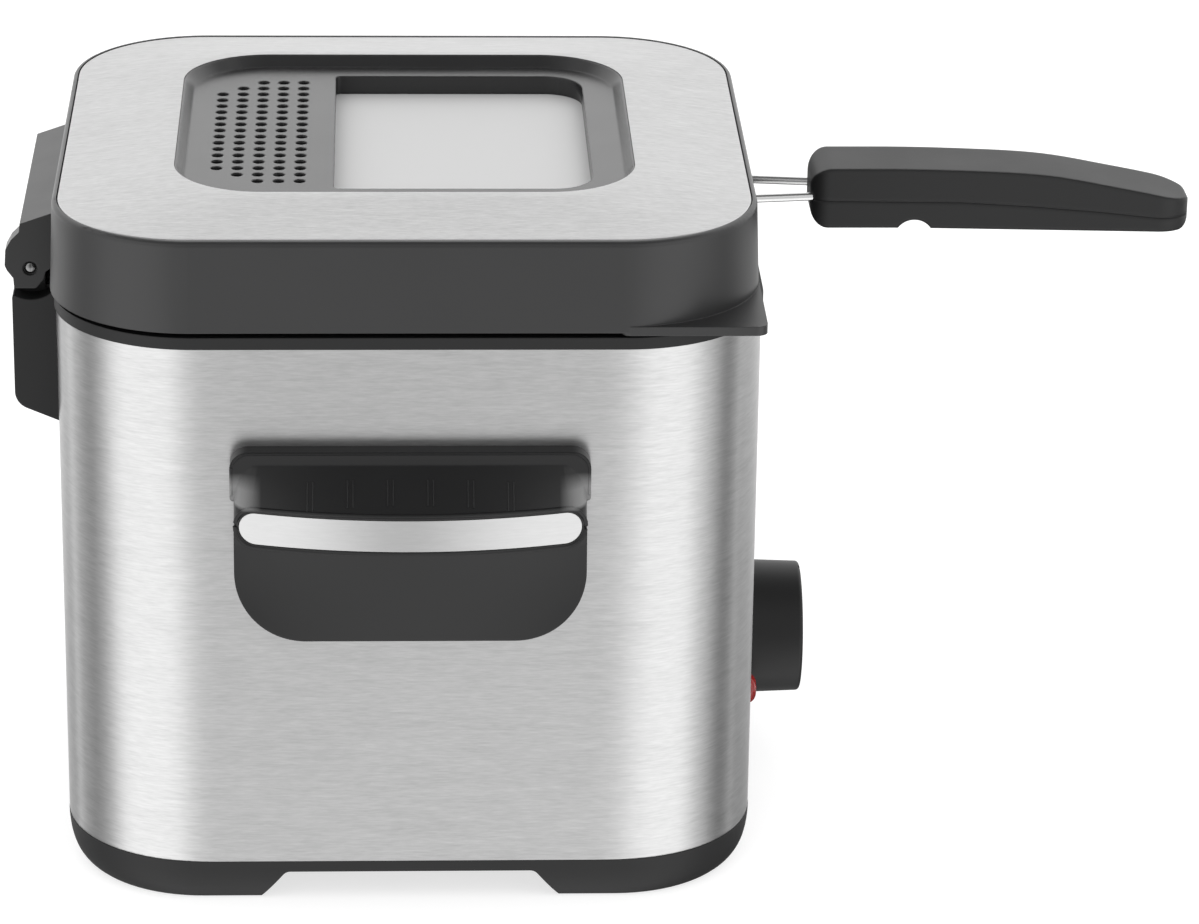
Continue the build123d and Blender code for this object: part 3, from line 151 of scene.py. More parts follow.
def handle_plastic(name, colour, painted_sheen):
    """Moulded plastic with a pale patch painted into its colour at each end of the handle's shelf.

    The patch stands in for a sheen. It is paint, not gloss, so it stays pale from every side and in
    any light.
    """
    patch_x = (40.5 * MM, 46.8 * MM)
    patch_rise = (123.6 * MM, 124.6 * MM)
    patch_fall = (128.5 * MM, 132.5 * MM)
    s = plastic_shader(name, colour, 0.36, edge=0.0007, specular=0.3)
    base = s.bsdf.inputs["Base Color"].links[0].from_socket
    split = s.add("ShaderNodeSeparateXYZ")
    s.join(s.coordinates((1, 1, 1)), split.inputs["Vector"])
    sideways = s.add("ShaderNodeMath", operation="ABSOLUTE")
    s.join(split.outputs["X"], sideways.inputs[0])
    share = s.add("ShaderNodeMath", operation="MULTIPLY")
    s.join(s.ramp(sideways.outputs["Value"], 0, 1, *patch_x), share.inputs[0])
    s.join(s.ramp(split.outputs["Z"], 0, 1, *patch_rise), share.inputs[1])
    fade = s.add("ShaderNodeMath", operation="MULTIPLY")
    s.join(share.outputs["Value"], fade.inputs[0])
    s.join(s.ramp(split.outputs["Z"], 1, 0, *patch_fall), fade.inputs[1])
    mix = s.add("ShaderNodeMix", data_type="RGBA")
    s.join(fade.outputs["Value"], mix.inputs["Factor"])
    s.join(base, mix.inputs["A"])
    # Painted highlight: the pale colour at the shelf ends stands in for a sheen.
    mix.inputs["B"].default_value = (*painted_sheen, 1)
    s.join(mix.outputs["Result"], s.bsdf.inputs["Base Color"])
    return s.material


def brushed(name, colour, rough, grain, across, anisotropic=0.8, strength=0.12, contrast=0.06):
    """Brushed metal. The grain is low along the brushing and high across it, per metre."""
    coarser, coarse_share, polish, depth = 0.3, 0.35, 0.02, 0.00001
    s = Shader(name)
    fine = s.noise(1.0, grain, detail=3.0, roughness=0.6)
    long_streaks = s.noise(1.0, tuple(v * coarser for v in grain), detail=3.0)
    both = s.add("ShaderNodeMix", data_type="FLOAT")
    both.inputs["Factor"].default_value = coarse_share
    s.join(fine, both.inputs["A"])
    s.join(long_streaks, both.inputs["B"])
    dark = scaled(colour, 1 - contrast)
    light = scaled(colour, 1 + contrast)
    streak = s.ramp(both.outputs["Result"], 0, 1, 0.3, 0.7)
    s.join(s.tint(streak, dark, light), s.bsdf.inputs["Base Color"])
    s.join(s.ramp(streak, rough - polish, rough + polish), s.bsdf.inputs["Roughness"])
    s.bsdf.inputs["Metallic"].default_value = 1.0
    s.bsdf.inputs["Anisotropic"].default_value = anisotropic
    spread = s.add("ShaderNodeCombineXYZ")
    for axis, value in zip("XYZ", across):
        spread.inputs[axis].default_value = value
    s.join(spread.outputs["Vector"], s.bsdf.inputs["Tangent"])
    s.join(s.bump(fine, depth, strength), s.bsdf.inputs["Normal"])
    return s.material


def plain_metal(name, colour, rough, uneven=0.05):
    """Plated or cast metal with slightly uneven polish."""
    shade_scale, gloss_scale, pit_scale = 40.0, 120.0, 900.0
    lighter, pit_depth, pit_strength = 1.1, 0.00002, 0.2
    s = Shader(name)
    shade = s.noise(shade_scale)
    s.join(s.tint(shade, colour, scaled(colour, lighter)), s.bsdf.inputs["Base Color"])
    s.join(s.ramp(s.noise(gloss_scale), rough, rough + uneven), s.bsdf.inputs["Roughness"])
    s.bsdf.inputs["Metallic"].default_value = 1.0
    s.join(s.bump(s.noise(pit_scale), pit_depth, pit_strength), s.bsdf.inputs["Normal"])
    return s.material


def clear(name, colour, rough=0.02, transmission=1.0):
    """Glass or a tinted clear lens."""
    s = Shader(name)
    s.bsdf.inputs["Base Color"].default_value = (*colour, 1)
    s.bsdf.inputs["Transmission Weight"].default_value = transmission
    s.join(s.ramp(s.noise(30.0), rough, rough + 0.02), s.bsdf.inputs["Roughness"])
    return s.material


def felt(name, colour):
    """Fibre felt for the filter mat."""
    fibre_scale, fibre_depth, fibre_strength, darker = 900.0, 0.0004, 0.8, 0.7
    s = Shader(name)
    fibres = s.noise(fibre_scale, detail=6.0)
    s.join(s.tint(fibres, scaled(colour, darker), colour), s.bsdf.inputs["Base Color"])
    s.bsdf.inputs["Roughness"].default_value = 0.95
    s.join(s.bump(fibres, fibre_depth, fibre_strength), s.bsdf.inputs["Normal"])
    return s.material


STEEL = (0.46, 0.46, 0.46)
BLACK = (0.006, 0.006, 0.0062)
LID_BLACK = (0.0112, 0.0112, 0.0115)
ACROSS_BODY = (0, 0, 1)
ACROSS_LID = (0, 1, 0)
BODY_GRAIN = (230, 230, 2300)
LID_GRAIN = (330, 2200, 330)
LINER_GRAIN = (90, 3000, 90)
MATERIALS = {
    "black_plastic": plastic("black_plastic", BLACK, 0.40, specular=0.42),
    "dish_plastic": plastic("dish_plastic", LID_BLACK, 0.24, edge=0.0009, specular=0.45),
    "rubber": plastic("rubber", (0.012, 0.012, 0.012), 0.8),
    "brushed_steel": brushed("brushed_steel", STEEL, 0.30, BODY_GRAIN, ACROSS_BODY, contrast=0.13),
    "lid_steel": brushed("lid_steel", STEEL, 0.32, LID_GRAIN, ACROSS_LID, contrast=0.2),
    "trim_steel": brushed("trim_steel", STEEL, 0.34, BODY_GRAIN, ACROSS_BODY),
    "zinc_steel": plain_metal("zinc_steel", (0.55, 0.54, 0.5), 0.35),
    "element_steel": plain_metal("element_steel", (0.3, 0.28, 0.25), 0.45),
    "cast_aluminium": plain_metal("cast_aluminium", (0.55, 0.55, 0.55), 0.5),
    "liner_aluminium": brushed("liner_aluminium", (0.72, 0.72, 0.72), 0.28, LINER_GRAIN, ACROSS_LID),
    "bowl_coating": plastic("bowl_coating", (0.03, 0.03, 0.032), 0.38, grain=0.00006),
    "wire_steel": plain_metal("wire_steel", (0.75, 0.75, 0.75), 0.14),
    "window_glass": clear("window_glass", (0.44, 0.44, 0.44), 0.55, 0.05),
    "clear_glass": clear("clear_glass", (0.9, 0.85, 0.8)),
    "red_lens": clear("red_lens", (0.5, 0.02, 0.02), 0.12, 0.6),
    "green_lens": clear("green_lens", (0.05, 0.4, 0.1), 0.12, 0.6),
    "silicone": plastic("silicone", (0.1, 0.1, 0.1), 0.6),
    "filter_foam": felt("filter_foam", (0.75, 0.73, 0.66)),
    "ceramic": plastic("ceramic", (0.75, 0.72, 0.66), 0.4),
    "lead_insulation": plastic("lead_insulation", (0.7, 0.66, 0.55), 0.7),
}
LID_PLASTIC = plastic("lid_plastic", LID_BLACK, 0.40)
ROUGH_BLACK = plastic("rough_black", BLACK, 0.5, specular=0.29)
GRIP_BLACK = plastic("grip_black", BLACK, 0.5, edge=0.0016, specular=0.32)
HANDLE_BLACK = handle_plastic("handle_black", BLACK, (0.2, 0.2, 0.2))
DARK_WIRE = plain_metal("dark_wire", (0.5, 0.5, 0.5), 0.22)
# Painted shade: a darkened steel for the pin end, standing in for the shade in the lug's hole round it.
SHADED_PIN_STEEL = plain_metal("shaded_pin_steel", (0.16, 0.16, 0.16), 0.1, 0.02)
PRINT = plastic("print_white", (0.6, 0.6, 0.6), 0.6, edge=0)
INK = plastic("print_black", (0.015, 0.015, 0.015), 0.6, edge=0)
SLOT_OF = {s["node"]: s["material_slot"] for s in frame["record"]["subparts"]}


def dress(obj, material):
    """Gives an object one material in every slot."""
    if not obj.material_slots:
        obj.data.materials.append(material)
    for slot in obj.material_slots:
        slot.material = material


for node, obj in NODES.items():
    dress(obj, MATERIALS[SLOT_OF[node]])
dress(NODES["lid_frame"], LID_PLASTIC)
for node in ("knob", "base_pan", "hinge_base", "top_rim"):
    dress(NODES[node], ROUGH_BLACK)
for node in ("carry_handle_near", "carry_handle_far"):
    dress(NODES[node], HANDLE_BLACK)
for node in ("grip_upper", "grip_lower"):
    dress(NODES[node], GRIP_BLACK)
dress(NODES["handle_wires"], DARK_WIRE)


# ---------------------------------------------------------------- mesh helpers

def rounded_ring(half_x, half_y, corner, steps):
    """Points round a rectangle with rounded corners, counter-clockwise from the +X side."""
    points = []
    for quarter, (sx, sy) in enumerate(((1, 1), (-1, 1), (-1, -1), (1, -1))):
        for step in range(steps + 1):
            angle = math.pi / 2 * (quarter + step / steps)
            points.append((sx * (half_x - corner) + corner * math.cos(angle),
                           sy * (half_y - corner) + corner * math.sin(angle)))
    return points


def ring_faces(rows, count, closed=False):
    """Quads between rows of points that each close on themselves; closed also joins last to first."""
    faces = []
    for row in range(rows if closed else rows - 1):
        low, high = row * count, (row + 1) % rows * count
        for k in range(count):
            n = (k + 1) % count
            faces.append((low + k, low + n, high + n, high + k))
    return faces


def mesh_object(name, verts, faces, body, material, slot, sharp=35):
    """A smooth-shaded mesh in millimetres that rides on a body."""
    mesh = bpy.data.meshes.new(name)
    mesh.from_pydata([tuple(c * MM for c in v) for v in verts], [], faces)
    mesh.validate()
    for polygon in mesh.polygons:
        polygon.use_smooth = True
    if sharp:
        mesh.set_sharp_from_angle(angle=math.radians(sharp))
    obj = bpy.data.objects.new(name, mesh)
    bpy.context.scene.collection.objects.link(obj)
    obj.data.materials.append(material)
    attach(obj, body)
    return obj


def tube(points, radius, sides, loop=False):
    """Vertices and faces of a round wire along a line of points."""
    verts = []
    count = len(points)
    up = Vector((0, 0, 1))
    nearly_upright, nearly_along_x = 0.2, 0.9
    for k, point in enumerate(points):
        before = points[k - 1] if k or loop else point
        after = points[(k + 1) % count] if k < count - 1 or loop else point
        along = (Vector(after) - Vector(before)).normalized()
        side = along.cross(up)
        if side.length < nearly_upright:
            level = Vector((1, 0, 0)) if abs(along.x) < nearly_along_x else Vector((0, 1, 0))
            side = along.cross(level)
        side.normalize()
        over = side.cross(along)
        for s in range(sides):
            angle = 2 * math.pi * s / sides
            outward = math.cos(angle) * side + math.sin(angle) * over
            verts.append(tuple(Vector(point) + radius * outward))
    faces = ring_faces(count, sides, loop)
    if not loop:
        faces.append(tuple(range(sides))[::-1])
        faces.append(tuple((count - 1) * sides + s for s in range(sides)))
    return verts, faces


def joined(shapes):
    """Several (vertices, faces) pairs as one."""
    verts, faces = [], []
    for some_verts, some_faces in shapes:
        start = len(verts)
        verts += some_verts
        faces += [tuple(start + i for i in face) for face in some_faces]
    return verts, faces


def span(node):
    """Lowest and highest corner of a CAD node in millimetres."""
    low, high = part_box(node)
    return low / MM, high / MM


def side_name(side):
    return "near" if side < 0 else "far"


# ---------------------------------------------------------------- lid plate

def lid_plate():
    """The crowned steel plate, one smooth sheet with rolled edges round the dish."""
    low, high = span("lid_plate")
    middle = (low.x + high.x) / 2
    grow, corner, sheet, roll = 0.25, 36.4, 0.8, 0.6
    foot, edge_rise, dish_turn, crown_sink = 0.3, 2.75, 3.2, 0.02
    outer = ((high.x - low.x) / 2 + grow, (high.y - low.y) / 2 + grow, corner + grow)
    inner = (64.4, 63.0, 25.0)
    foot_z, edge_z, top_z = low.z + foot, low.z + edge_rise, high.z - crown_sink
    slope_steps, roll_steps, corner_steps = 16, 4, 24

    def at(z, share, inset=0.0):
        """One section, a share of the way from the rim to the dish, as (z, half_x, half_y, corner)."""
        sizes = [a + (b - a) * share - inset for a, b in zip(outer, inner)]
        return (z, *sizes)

    def height(share):
        """A straight slope that eases in at the rim and levels out beside the dish."""
        ease = 0.12
        settle = ease / 2 * (1 - math.exp(-share / ease))
        level = max(0.0, share - 1 + ease) ** 2 / (2 * ease)
        full = 1 - ease / 2 * (1 - math.exp(-1 / ease)) - ease / 2
        return edge_z + (top_z - edge_z) * (share - settle - level) / full

    sections = [at(foot_z, 0), at(edge_z - roll, 0)]
    for step in range(1, roll_steps + 1):
        angle = math.pi / 2 * step / roll_steps
        sections.append(at(edge_z - roll + roll * math.sin(angle), 0, roll * (1 - math.cos(angle))))
    for step in range(1, slope_steps):
        sections.append(at(height(step / slope_steps), step / slope_steps))
    for step in range(1, roll_steps + 1):
        angle = math.pi / 2 * step / roll_steps
        sections.append(at(top_z - roll + roll * math.cos(angle), 1, roll * (1 - math.sin(angle))))
    sections.append(at(top_z - dish_turn, 1))
    sections.append(at(top_z - dish_turn, 1, -sheet))
    for step in range(slope_steps - 1, 0, -2):
        sections.append(at(height(step / slope_steps) - sheet, step / slope_steps))
    sections.append(at(foot_z, 0, sheet))

    verts = []
    for z, *sizes in sections:
        verts += [(x + middle, y, z) for x, y in rounded_ring(*sizes, corner_steps)]
    faces = ring_faces(len(sections), 4 * (corner_steps + 1), closed=True)
    obj = mesh_object("lid_plate_sheet", verts, faces, "lid", MATERIALS["lid_steel"], "lid_steel")
    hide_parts("lid_plate")


# ---------------------------------------------------------------- steel shell

def eased_corner(reach, ease, steps):
    """A quarter turn whose curvature grows and fades over a length, as (along, in) from 0 to reach."""
    substeps, halvings = 20, 40

    def trace(bend):
        length = math.pi / 2 / bend + ease
        points, x, y, angle = [(0.0, 0.0)], 0.0, 0.0, 0.0
        count = steps * substeps
        step = length / count
        for k in range(count):
            place = (k + 0.5) * step
            angle += bend * min(1.0, place / ease, (length - place) / ease) * step
            x += math.cos(angle) * step
            y += math.sin(angle) * step
            points.append((x, y))
        return points

    low, high = 0.5 / reach, 4.0 / reach
    for _ in range(halvings):
        bend = (low + high) / 2
        points = trace(bend)
        if points[-1][0] > reach:
            low = bend
        else:
            high = bend
    return points[::substeps]


def steel_shell():
    """The wrapped steel body, its corners eased out of the flat sides, with a folded-in thickness."""
    low, high = span("steel_shell")
    half_x, half_y = (high.x - low.x) / 2, (high.y - low.y) / 2
    reach, ease, sheet, lower_ring, upper_ring = 48.0, 17.0, 0.8, 30, 90
    corner = eased_corner(reach, ease, steps=28)

    def outline(inset):
        points = []
        for sx, sy in ((1, 1), (-1, 1), (-1, -1), (1, -1)):
            line = [(half_x - inset - b, half_y - inset - reach + a) for a, b in corner]
            line = [(sx * x, sy * y) for x, y in line]
            points += line if sx * sy > 0 else line[::-1]
        return points

    rings = [(low.z, sheet), (low.z, 0.0), (low.z + lower_ring, 0.0), (low.z + upper_ring, 0.0),
             (high.z, 0.0), (high.z, sheet)]
    verts = []
    for z, inset in rings:
        verts += [(x, y, z) for x, y in outline(inset)]
    faces = ring_faces(len(rings), len(verts) // len(rings), closed=True)
    material = MATERIALS["brushed_steel"]
    obj = mesh_object("shell_skin", verts, faces, "housing", material, "brushed_steel")
    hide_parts("steel_shell")


# ---------------------------------------------------------------- carry handles

def handle_ribs(side):
    """Six pairs of fine raised lines on the sloping shelf of a carry handle."""
    name = side_name(side)
    node = NODES[f"carry_handle_{name}"]
    tree = BVHTree.FromObject(node, bpy.context.evaluated_depsgraph_get())
    body_y = span("steel_shell")[1].y
    pairs, pitch, gap, rib = 6, 10.9, 1.5, 0.28
    first, last, steps, above = 8.4, 14.6, 8, 150
    shapes = []
    for pair in range(pairs):
        middle = (pair - (pairs - 1) / 2) * pitch
        for x in (middle - gap / 2, middle + gap / 2):
            line = []
            for step in range(steps + 1):
                y = side * (body_y + first + (last - first) * step / steps)
                hit = tree.ray_cast(Vector((x, y, above)) * MM, Vector((0, 0, -1)))[0]
                if hit is not None:
                    line.append((x, y, hit.z / MM))
            if len(line) > 2:
                shapes.append(tube(line, rib, sides=6))
    verts, faces = joined(shapes)
    material = MATERIALS["black_plastic"]
    mesh_object(f"handle_ribs_{name}", verts, faces, "housing", material, "black_plastic")


def handle_beads(side):
    """The fine raised lips of a carry handle: one round the steel strip, one along the flange."""
    name = side_name(side)
    trim_low, trim_high = span(f"handle_trim_{name}")
    handle_low, handle_high = span(f"carry_handle_{name}")
    body_y = span("steel_shell")[1].y
    lip, gap, bulge, half = 0.65, 0.45, 7.6, 48.1
    middle_sink, end_rise, strip_steps, turn_steps = 1.02, 0.65, 40, 16
    middle_z = (trim_low.z + trim_high.z) / 2
    rise = (trim_high.z - trim_low.z) / 2 + gap + lip
    run = trim_high.x + gap + lip - rise
    ridge = handle_high.y if side > 0 else -handle_low.y
    drum = (half ** 2 + bulge ** 2) / (2 * bulge)

    def surface(x):
        sink = lip * (middle_sink - end_rise * (x / half) ** 2)
        return ridge - (drum - math.sqrt(drum ** 2 - x ** 2)) - sink

    line = []
    for step in range(strip_steps + 1):
        x = -run + 2 * run * step / strip_steps
        line.append((x, side * surface(x), middle_z + rise))
    for step in range(1, turn_steps):
        angle = math.pi / 2 - math.pi * step / turn_steps
        x = run + rise * math.cos(angle)
        line.append((x, side * surface(x), middle_z + rise * math.sin(angle)))
    line += [(-x, y, 2 * middle_z - z) for x, y, z in line]
    strip_lip = tube(line, lip, sides=10, loop=True)

    bead, corner, reach, low_z, corner_steps = 0.45, 5.0, 4.8, 126.0, 8
    edge_x, edge_z = handle_high.x - bead, handle_high.z - bead
    flange_y = side * (body_y + reach)
    rim = [(-edge_x, flange_y, low_z), (-edge_x, flange_y, edge_z - corner)]
    for step in range(1, corner_steps + 1):
        angle = math.pi - math.pi / 2 * step / corner_steps
        rim.append((-edge_x + corner + corner * math.cos(angle), flange_y,
                    edge_z - corner + corner * math.sin(angle)))
    rim += [(-x, y, z) for x, y, z in rim[::-1]]
    verts, faces = joined([strip_lip, tube(rim, bead, sides=8)])
    mesh_object(f"handle_beads_{name}", verts, faces, "housing", HANDLE_BLACK, "black_plastic")


# ---------------------------------------------------------------- lid details

def dish_gap_shade():
    """A thin black tube in the gap between the steel plate and the sunken dish: painted shade, standing
    in for the shadow in that gap.
    """
    low, high = span("lid_insert")
    centre_x = (low.x + high.x) / 2
    flange, overlap, corner, sink, thickness = 4.0, 0.1, 24.8, 0.28, 0.45
    half_x = (high.x - low.x) / 2 - flange + overlap
    half_y = (high.y - low.y) / 2 - flange + overlap
    ring = [(x + centre_x, y, high.z - sink) for x, y in rounded_ring(half_x, half_y, corner, steps=12)]
    verts, faces = tube(ring, thickness, sides=6, loop=True)
    mesh_object("dish_gap_shade", verts, faces, "lid", MATERIALS["rubber"], "black_plastic")


def pin_dome():
    """The rounded end of the hinge pin, sunk in the near lug, in darkened steel: painted shade for the
    dark inside of the lug's hole.
    """
    low, high = span("hinge_pin")
    centre_x, centre_z = (low.x + high.x) / 2, (low.z + high.z) / 2
    radius, height, sides, rings = 1.55, 0.6, 20, 6
    verts = []
    for ring in range(rings):
        angle = math.pi / 2 * ring / rings
        y, across = low.y - height * math.sin(angle), radius * math.cos(angle)
        for k in range(sides):
            turn = 2 * math.pi * k / sides
            verts.append((centre_x + across * math.cos(turn), y, centre_z + across * math.sin(turn)))
    verts.append((centre_x, low.y - height, centre_z))
    faces = ring_faces(rings, sides)
    last = (rings - 1) * sides
    faces += [(last + k, last + (k + 1) % sides, len(verts) - 1) for k in range(sides)]
    faces.append(tuple(range(sides))[::-1])
    mesh_object("hinge_pin_dome", verts, faces, "lid", SHADED_PIN_STEEL, SLOT_OF["hinge_pin"])


# ---------------------------------------------------------------- wire basket

def wire_basket():
    """Wire cloth: U-shaped wires both ways across the floor, and rings round the walls.

    The wires cross in flat layers and are not interlaced.
    """
    low, high = span("basket_mesh")
    inset, layer, rim_reach = 0.6, 0.5, 0.4
    half_x, half_y = (high.x - low.x) / 2 - inset, (high.y - low.y) / 2 - inset
    corner, bend, wire, pitch = 23.4, 9.0, 0.42, 5.6
    bottom, top = low.z + inset, high.z + rim_reach
    edge_room, wall_steps, bend_steps = 1.5, 12, 5

    def reach(offset, half_across, half_along):
        over = abs(offset) - (half_across - corner)
        if over <= 0:
            return half_along
        return half_along - corner + math.sqrt(max(corner ** 2 - over ** 2, 0.0))

    shapes = []
    for along_y in (True, False):
        half_across, half_along = (half_x, half_y) if along_y else (half_y, half_x)
        lines = int(2 * (half_across - edge_room) // pitch)
        for k in range(lines + 1):
            offset = (k - lines / 2) * pitch
            end = reach(offset, half_across, half_along)
            path = [(end, top)]
            for step in range(1, wall_steps + 1):
                path.append((end, top + (bottom + bend - top) * step / wall_steps))
            for step in range(1, bend_steps + 1):
                angle = math.pi / 2 * step / bend_steps
                along, down = bend * math.cos(angle), bend * math.sin(angle)
                path.append((end - bend + along, bottom + bend - down))
            points = path + [(-a, z) for a, z in path[::-1]]
            if along_y:
                line = [(offset, a, z) for a, z in points]
            else:
                line = [(a, offset, z + layer) for a, z in points]
            shapes.append(tube(line, wire, sides=5))
    z = bottom + bend
    while z < top:
        outline = rounded_ring(half_x - layer, half_y - layer, corner - layer, steps=8)
        ring = [(x, y, z) for x, y in outline]
        shapes.append(tube(ring, wire, sides=5, loop=True))
        z += pitch
    verts, faces = joined(shapes)
    material = MATERIALS["wire_steel"]
    obj = mesh_object("basket_wire_cloth", verts, faces, "basket", material, "wire_steel", sharp=0)
    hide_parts("basket_mesh")


# ---------------------------------------------------------------- dial

def flat_bar(centre, along, across, out, length, width, depth):
    """A thin bar with a bevelled outline, lying on a face."""
    verts = []
    a, b, n = (Vector(v) for v in (along, across, out))
    bevel_start, bevel_in = depth * 0.6, depth * 0.5
    for level, inset in ((0.0, 0.0), (bevel_start, 0.0), (depth, bevel_in)):
        for sa, sb in ((1, 1), (-1, 1), (-1, -1), (1, -1)):
            point = Vector(centre) + a * sa * (length / 2 - inset)
            point += b * sb * (width / 2 - inset)
            point += n * level
            verts.append(tuple(point))
    faces = ring_faces(3, 4)
    faces.append((8, 9, 10, 11))
    faces.append((3, 2, 1, 0))
    return verts, faces


def dial():
    """Printed marks round the knob, the knob's pointer and three temperatures."""
    low, high = span("knob")
    centre_z = (low.z + high.z) / 2
    face_x = span("steel_shell")[1].x
    radius = (high.z - low.z) / 2
    outward = (1, 0, 0)
    marks, first_degrees, pitch_degrees, mark_gap = 13, -135, 22.5, 1.7
    long_mark, short_mark, mark_width, mark_depth = 1.6, 1.0, 0.45, 0.08
    shapes = []
    for mark in range(marks):
        angle = math.radians(first_degrees + pitch_degrees * mark)
        along = (0, math.sin(angle), math.cos(angle))
        across = (0, math.cos(angle), -math.sin(angle))
        distance = radius + mark_gap
        centre = (face_x, distance * along[1], centre_z + distance * along[2])
        length = short_mark if mark % 2 else long_mark
        shapes.append(flat_bar(centre, along, across, outward, length, mark_width, mark_depth))
    verts, faces = joined(shapes)
    mesh_object("dial_marks", verts, faces, "housing", INK, "black_plastic")
    sunk, width, depth = 0.02, 1.1, 0.12
    middle, length = radius * 0.6, radius * 0.55
    centre = (high.x - sunk, 0, centre_z + middle)
    pointer = flat_bar(centre, (0, 0, 1), (0, 1, 0), outward, length, width, depth)
    mesh_object("knob_pointer", *pointer, "knob", PRINT, "black_plastic")
    text_size, text_depth, text_gap = 4.6, 0.04, 7.0
    upright = Matrix(((0, 0, 1, 0), (1, 0, 0, 0), (0, 1, 0, 0), (0, 0, 0, 1)))
    for words, degrees in (("150", -45), ("170", 0), ("190", 45)):
        angle = math.radians(degrees)
        data = bpy.data.curves.new(f"dial_{words}", "FONT")
        data.body = words
        data.size = text_size * MM
        data.extrude = text_depth * MM
        data.align_x, data.align_y = "CENTER", "CENTER"
        data.materials.append(INK)
        obj = bpy.data.objects.new(f"dial_{words}", data)
        distance = radius + text_gap
        across, up = distance * math.sin(angle), distance * math.cos(angle)
        place = (face_x + text_depth, across, centre_z + up)
        obj.matrix_world = Matrix.Translation(Vector(place) * MM) @ upright
        bpy.context.scene.collection.objects.link(obj)
        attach(obj, "housing")


steel_shell()
lid_plate()
handle_ribs(-1)
handle_ribs(1)
handle_beads(-1)
handle_beads(1)
dish_gap_shade()
pin_dome()
wire_basket()
dial()


# ---------------------------------------------------------------- studio

# Each stop is a compass angle in degrees and the brightness there. 0 is the side that the main view
# looks from, and 90 is the knob's side. The stops were tuned against the main view, for the steel's
# reflections: pale walls with darker stretches between them, and two narrow bright strips low down.
LOW_BAND = [
    (-180, 0.7), (-160, 0.4), (-140, 0.22), (-133, 0.25), (-131, 1.1), (-127, 1.1), (-125, 0.3),
    (-104, 0.33), (-86, 0.65), (-68, 2.1), (-20, 2.05), (-5, 1.44), (2.5, 1.44), (8, 1.7), (16, 2.0),
    (58, 2.1), (76, 0.8), (94, 0.16), (112, 0.16), (114, 0.8), (117, 0.8), (119, 0.1), (140, 0.1),
    (165, 0.25), (180, 0.7),
]
HIGH_BAND = [
    (-180, 1.85), (-120, 1.9), (-95, 0.6), (-75, 1.8), (-25, 1.7), (-8, 0.5), (0, 0.4), (5, 0.45),
    (25, 1.7), (75, 1.8), (95, 0.6), (120, 1.9), (180, 1.85),
]


def world_light():
    """A studio as brightness by compass direction: a band near the floor, one of walls, a ceiling."""
    world = bpy.data.worlds.new("studio")
    bpy.context.scene.world = world
    world.use_nodes = True
    tree = world.node_tree
    tree.nodes.clear()

    def add(kind, **settings):
        node = tree.nodes.new(kind)
        for key, value in settings.items():
            setattr(node, key, value)
        return node

    def math_node(operation, first, second=None):
        node = add("ShaderNodeMath", operation=operation)
        for socket, value in zip(node.inputs, (first, second)):
            if value is None:
                continue
            if isinstance(value, (int, float)):
                socket.default_value = value
            else:
                tree.links.new(value, socket)
        return node.outputs["Value"]

    def band(stops):
        peak = max(value for _, value in stops)
        node = add("ShaderNodeValToRGB")
        tree.links.new(compass, node.inputs["Fac"])
        elements = node.color_ramp.elements
        while len(elements) > 1:
            elements.remove(elements[0])
        for number, (angle, value) in enumerate(stops):
            place = angle / 360 + 0.5
            stop = elements[0] if number == 0 else elements.new(place)
            stop.position = place
            stop.color = (value / peak, value / peak, value / peak, 1)
        return math_node("MULTIPLY", node.outputs["Color"], peak)

    def blend(low, high, start, end):
        rise = add("ShaderNodeMapRange", interpolation_type="SMOOTHSTEP")
        tree.links.new(split.outputs["Z"], rise.inputs["Value"])
        rise.inputs["From Min"].default_value = start
        rise.inputs["From Max"].default_value = end
        mix = add("ShaderNodeMix", data_type="FLOAT")
        tree.links.new(rise.outputs["Result"], mix.inputs["Factor"])
        for socket, value in (("A", low), ("B", high)):
            if isinstance(value, (int, float)):
                mix.inputs[socket].default_value = value
            else:
                tree.links.new(value, mix.inputs[socket])
        return mix.outputs["Result"]

    output = add("ShaderNodeOutputWorld")
    background = add("ShaderNodeBackground")
    coordinates = add("ShaderNodeTexCoord")
    split = add("ShaderNodeSeparateXYZ")
    tree.links.new(coordinates.outputs["Generated"], split.inputs["Vector"])
    ceiling = 0.2
    turn = math_node("ARCTAN2", split.outputs["X"], math_node("MULTIPLY", split.outputs["Y"], -1.0))
    compass = math_node("MULTIPLY_ADD", turn, 1 / (2 * math.pi))
    compass.node.inputs[2].default_value = 0.5
    walls = blend(band(LOW_BAND), band(HIGH_BAND), -0.45, -0.16)
    room = blend(walls, ceiling, 0.68, 0.93)
    shade_above_floor = blend(blend(1.0, 0.8, -0.1, 0.1), 1.0, 0.2, 0.55)
    light = math_node("MULTIPLY", room, shade_above_floor)
    tree.links.new(light, background.inputs["Strength"])
    background.inputs["Color"].default_value = (1, 1, 1, 1)
    tree.links.new(background.outputs["Background"], output.inputs["Surface"])


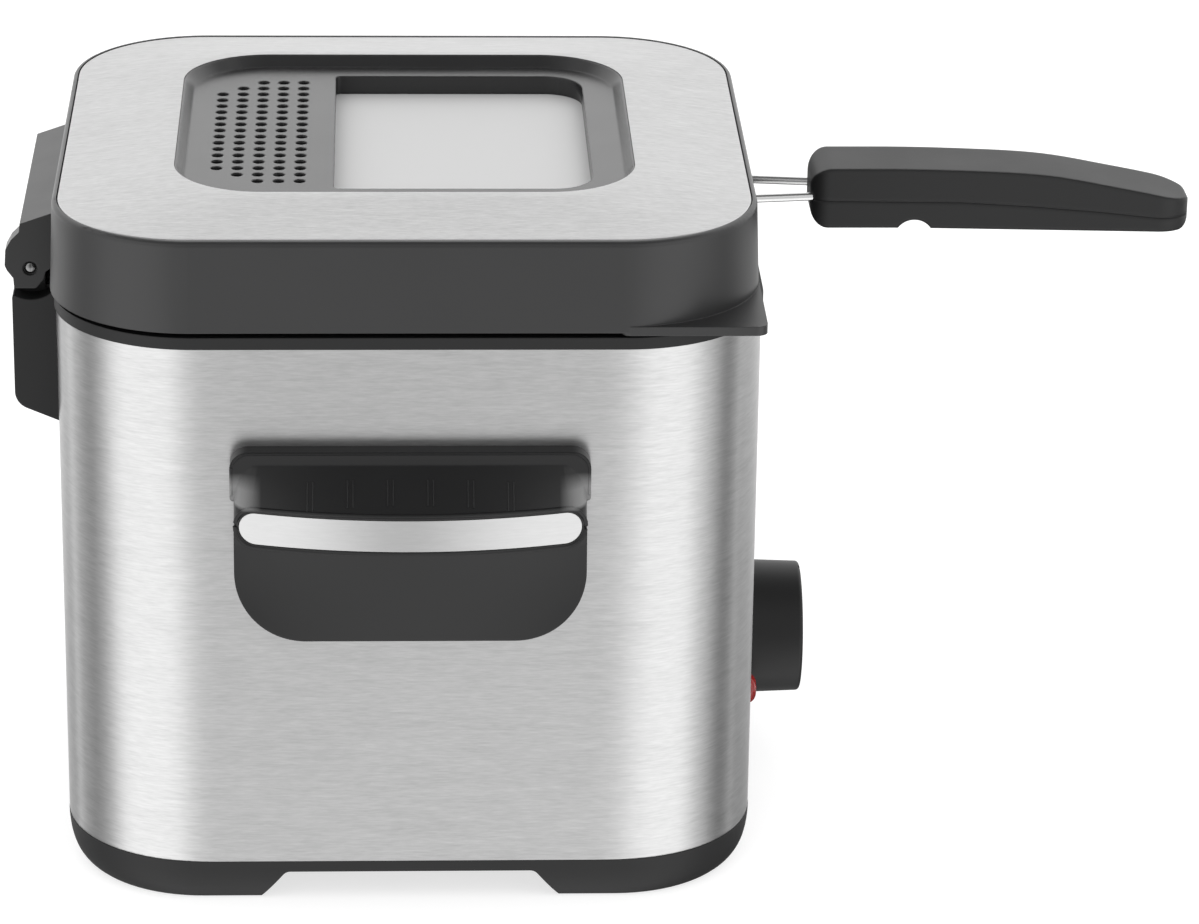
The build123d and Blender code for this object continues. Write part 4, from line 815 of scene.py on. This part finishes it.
def floor():
    """A plain pale floor. It gives off some light of its own and does not show in reflections."""
    mesh = bpy.data.meshes.new("floor")
    half = 6.0
    corners = [(-half, -half, 0), (half, -half, 0), (half, half, 0), (-half, half, 0)]
    mesh.from_pydata(corners, [], [(0, 1, 2, 3)])
    obj = bpy.data.objects.new("floor", mesh)
    bpy.context.scene.collection.objects.link(obj)
    s = Shader("floor_paint")
    s.join(s.tint(s.noise(2.0), (0.36, 0.36, 0.36), (0.38, 0.38, 0.38)), s.bsdf.inputs["Base Color"])
    s.bsdf.inputs["Roughness"].default_value = 0.9
    s.bsdf.inputs["Emission Color"].default_value = (1, 1, 1, 1)
    s.bsdf.inputs["Emission Strength"].default_value = 0.7
    obj.data.materials.append(s.material)
    obj.visible_glossy = False


def overhead_light():
    """A large soft light above, aimed at the object and unseen in reflections."""
    place, side, power = Vector((0, -0.3, 2.4)), 3.0, 36
    data = bpy.data.lights.new("overhead", "AREA")
    data.shape = "RECTANGLE"
    data.size, data.size_y = side, side
    data.energy = power
    obj = bpy.data.objects.new("overhead", data)
    obj.location = place
    obj.rotation_mode = "QUATERNION"
    obj.rotation_quaternion = (-place).to_track_quat("-Z", "Z")
    obj.visible_glossy = False
    bpy.context.scene.collection.objects.link(obj)


def camera():
    """The main view: slightly from the left, looking down about 22 degrees."""
    place = (-0.00744, -1.3812, 0.6531)
    turn_degrees, down_degrees, roll_degrees = -2.627, 21.965, 0.8645
    data = bpy.data.cameras.new("camera")
    data.lens = 152.68
    data.sensor_width = 36
    data.clip_start, data.clip_end = 0.05, 50
    obj = bpy.data.objects.new("camera", data)
    turn = Matrix.Rotation(math.radians(turn_degrees), 4, "Z")
    tilt = Matrix.Rotation(math.radians(90 - down_degrees), 4, "X")
    roll = Matrix.Rotation(math.radians(roll_degrees), 4, "Z")
    obj.matrix_world = Matrix.Translation(place) @ turn @ tilt @ roll
    bpy.context.scene.collection.objects.link(obj)
    bpy.context.scene.camera = obj


camera()
world_light()
floor()
overhead_light()
bpy.context.scene.view_settings.view_transform = "Standard"
bpy.context.scene.view_settings.look = "None"
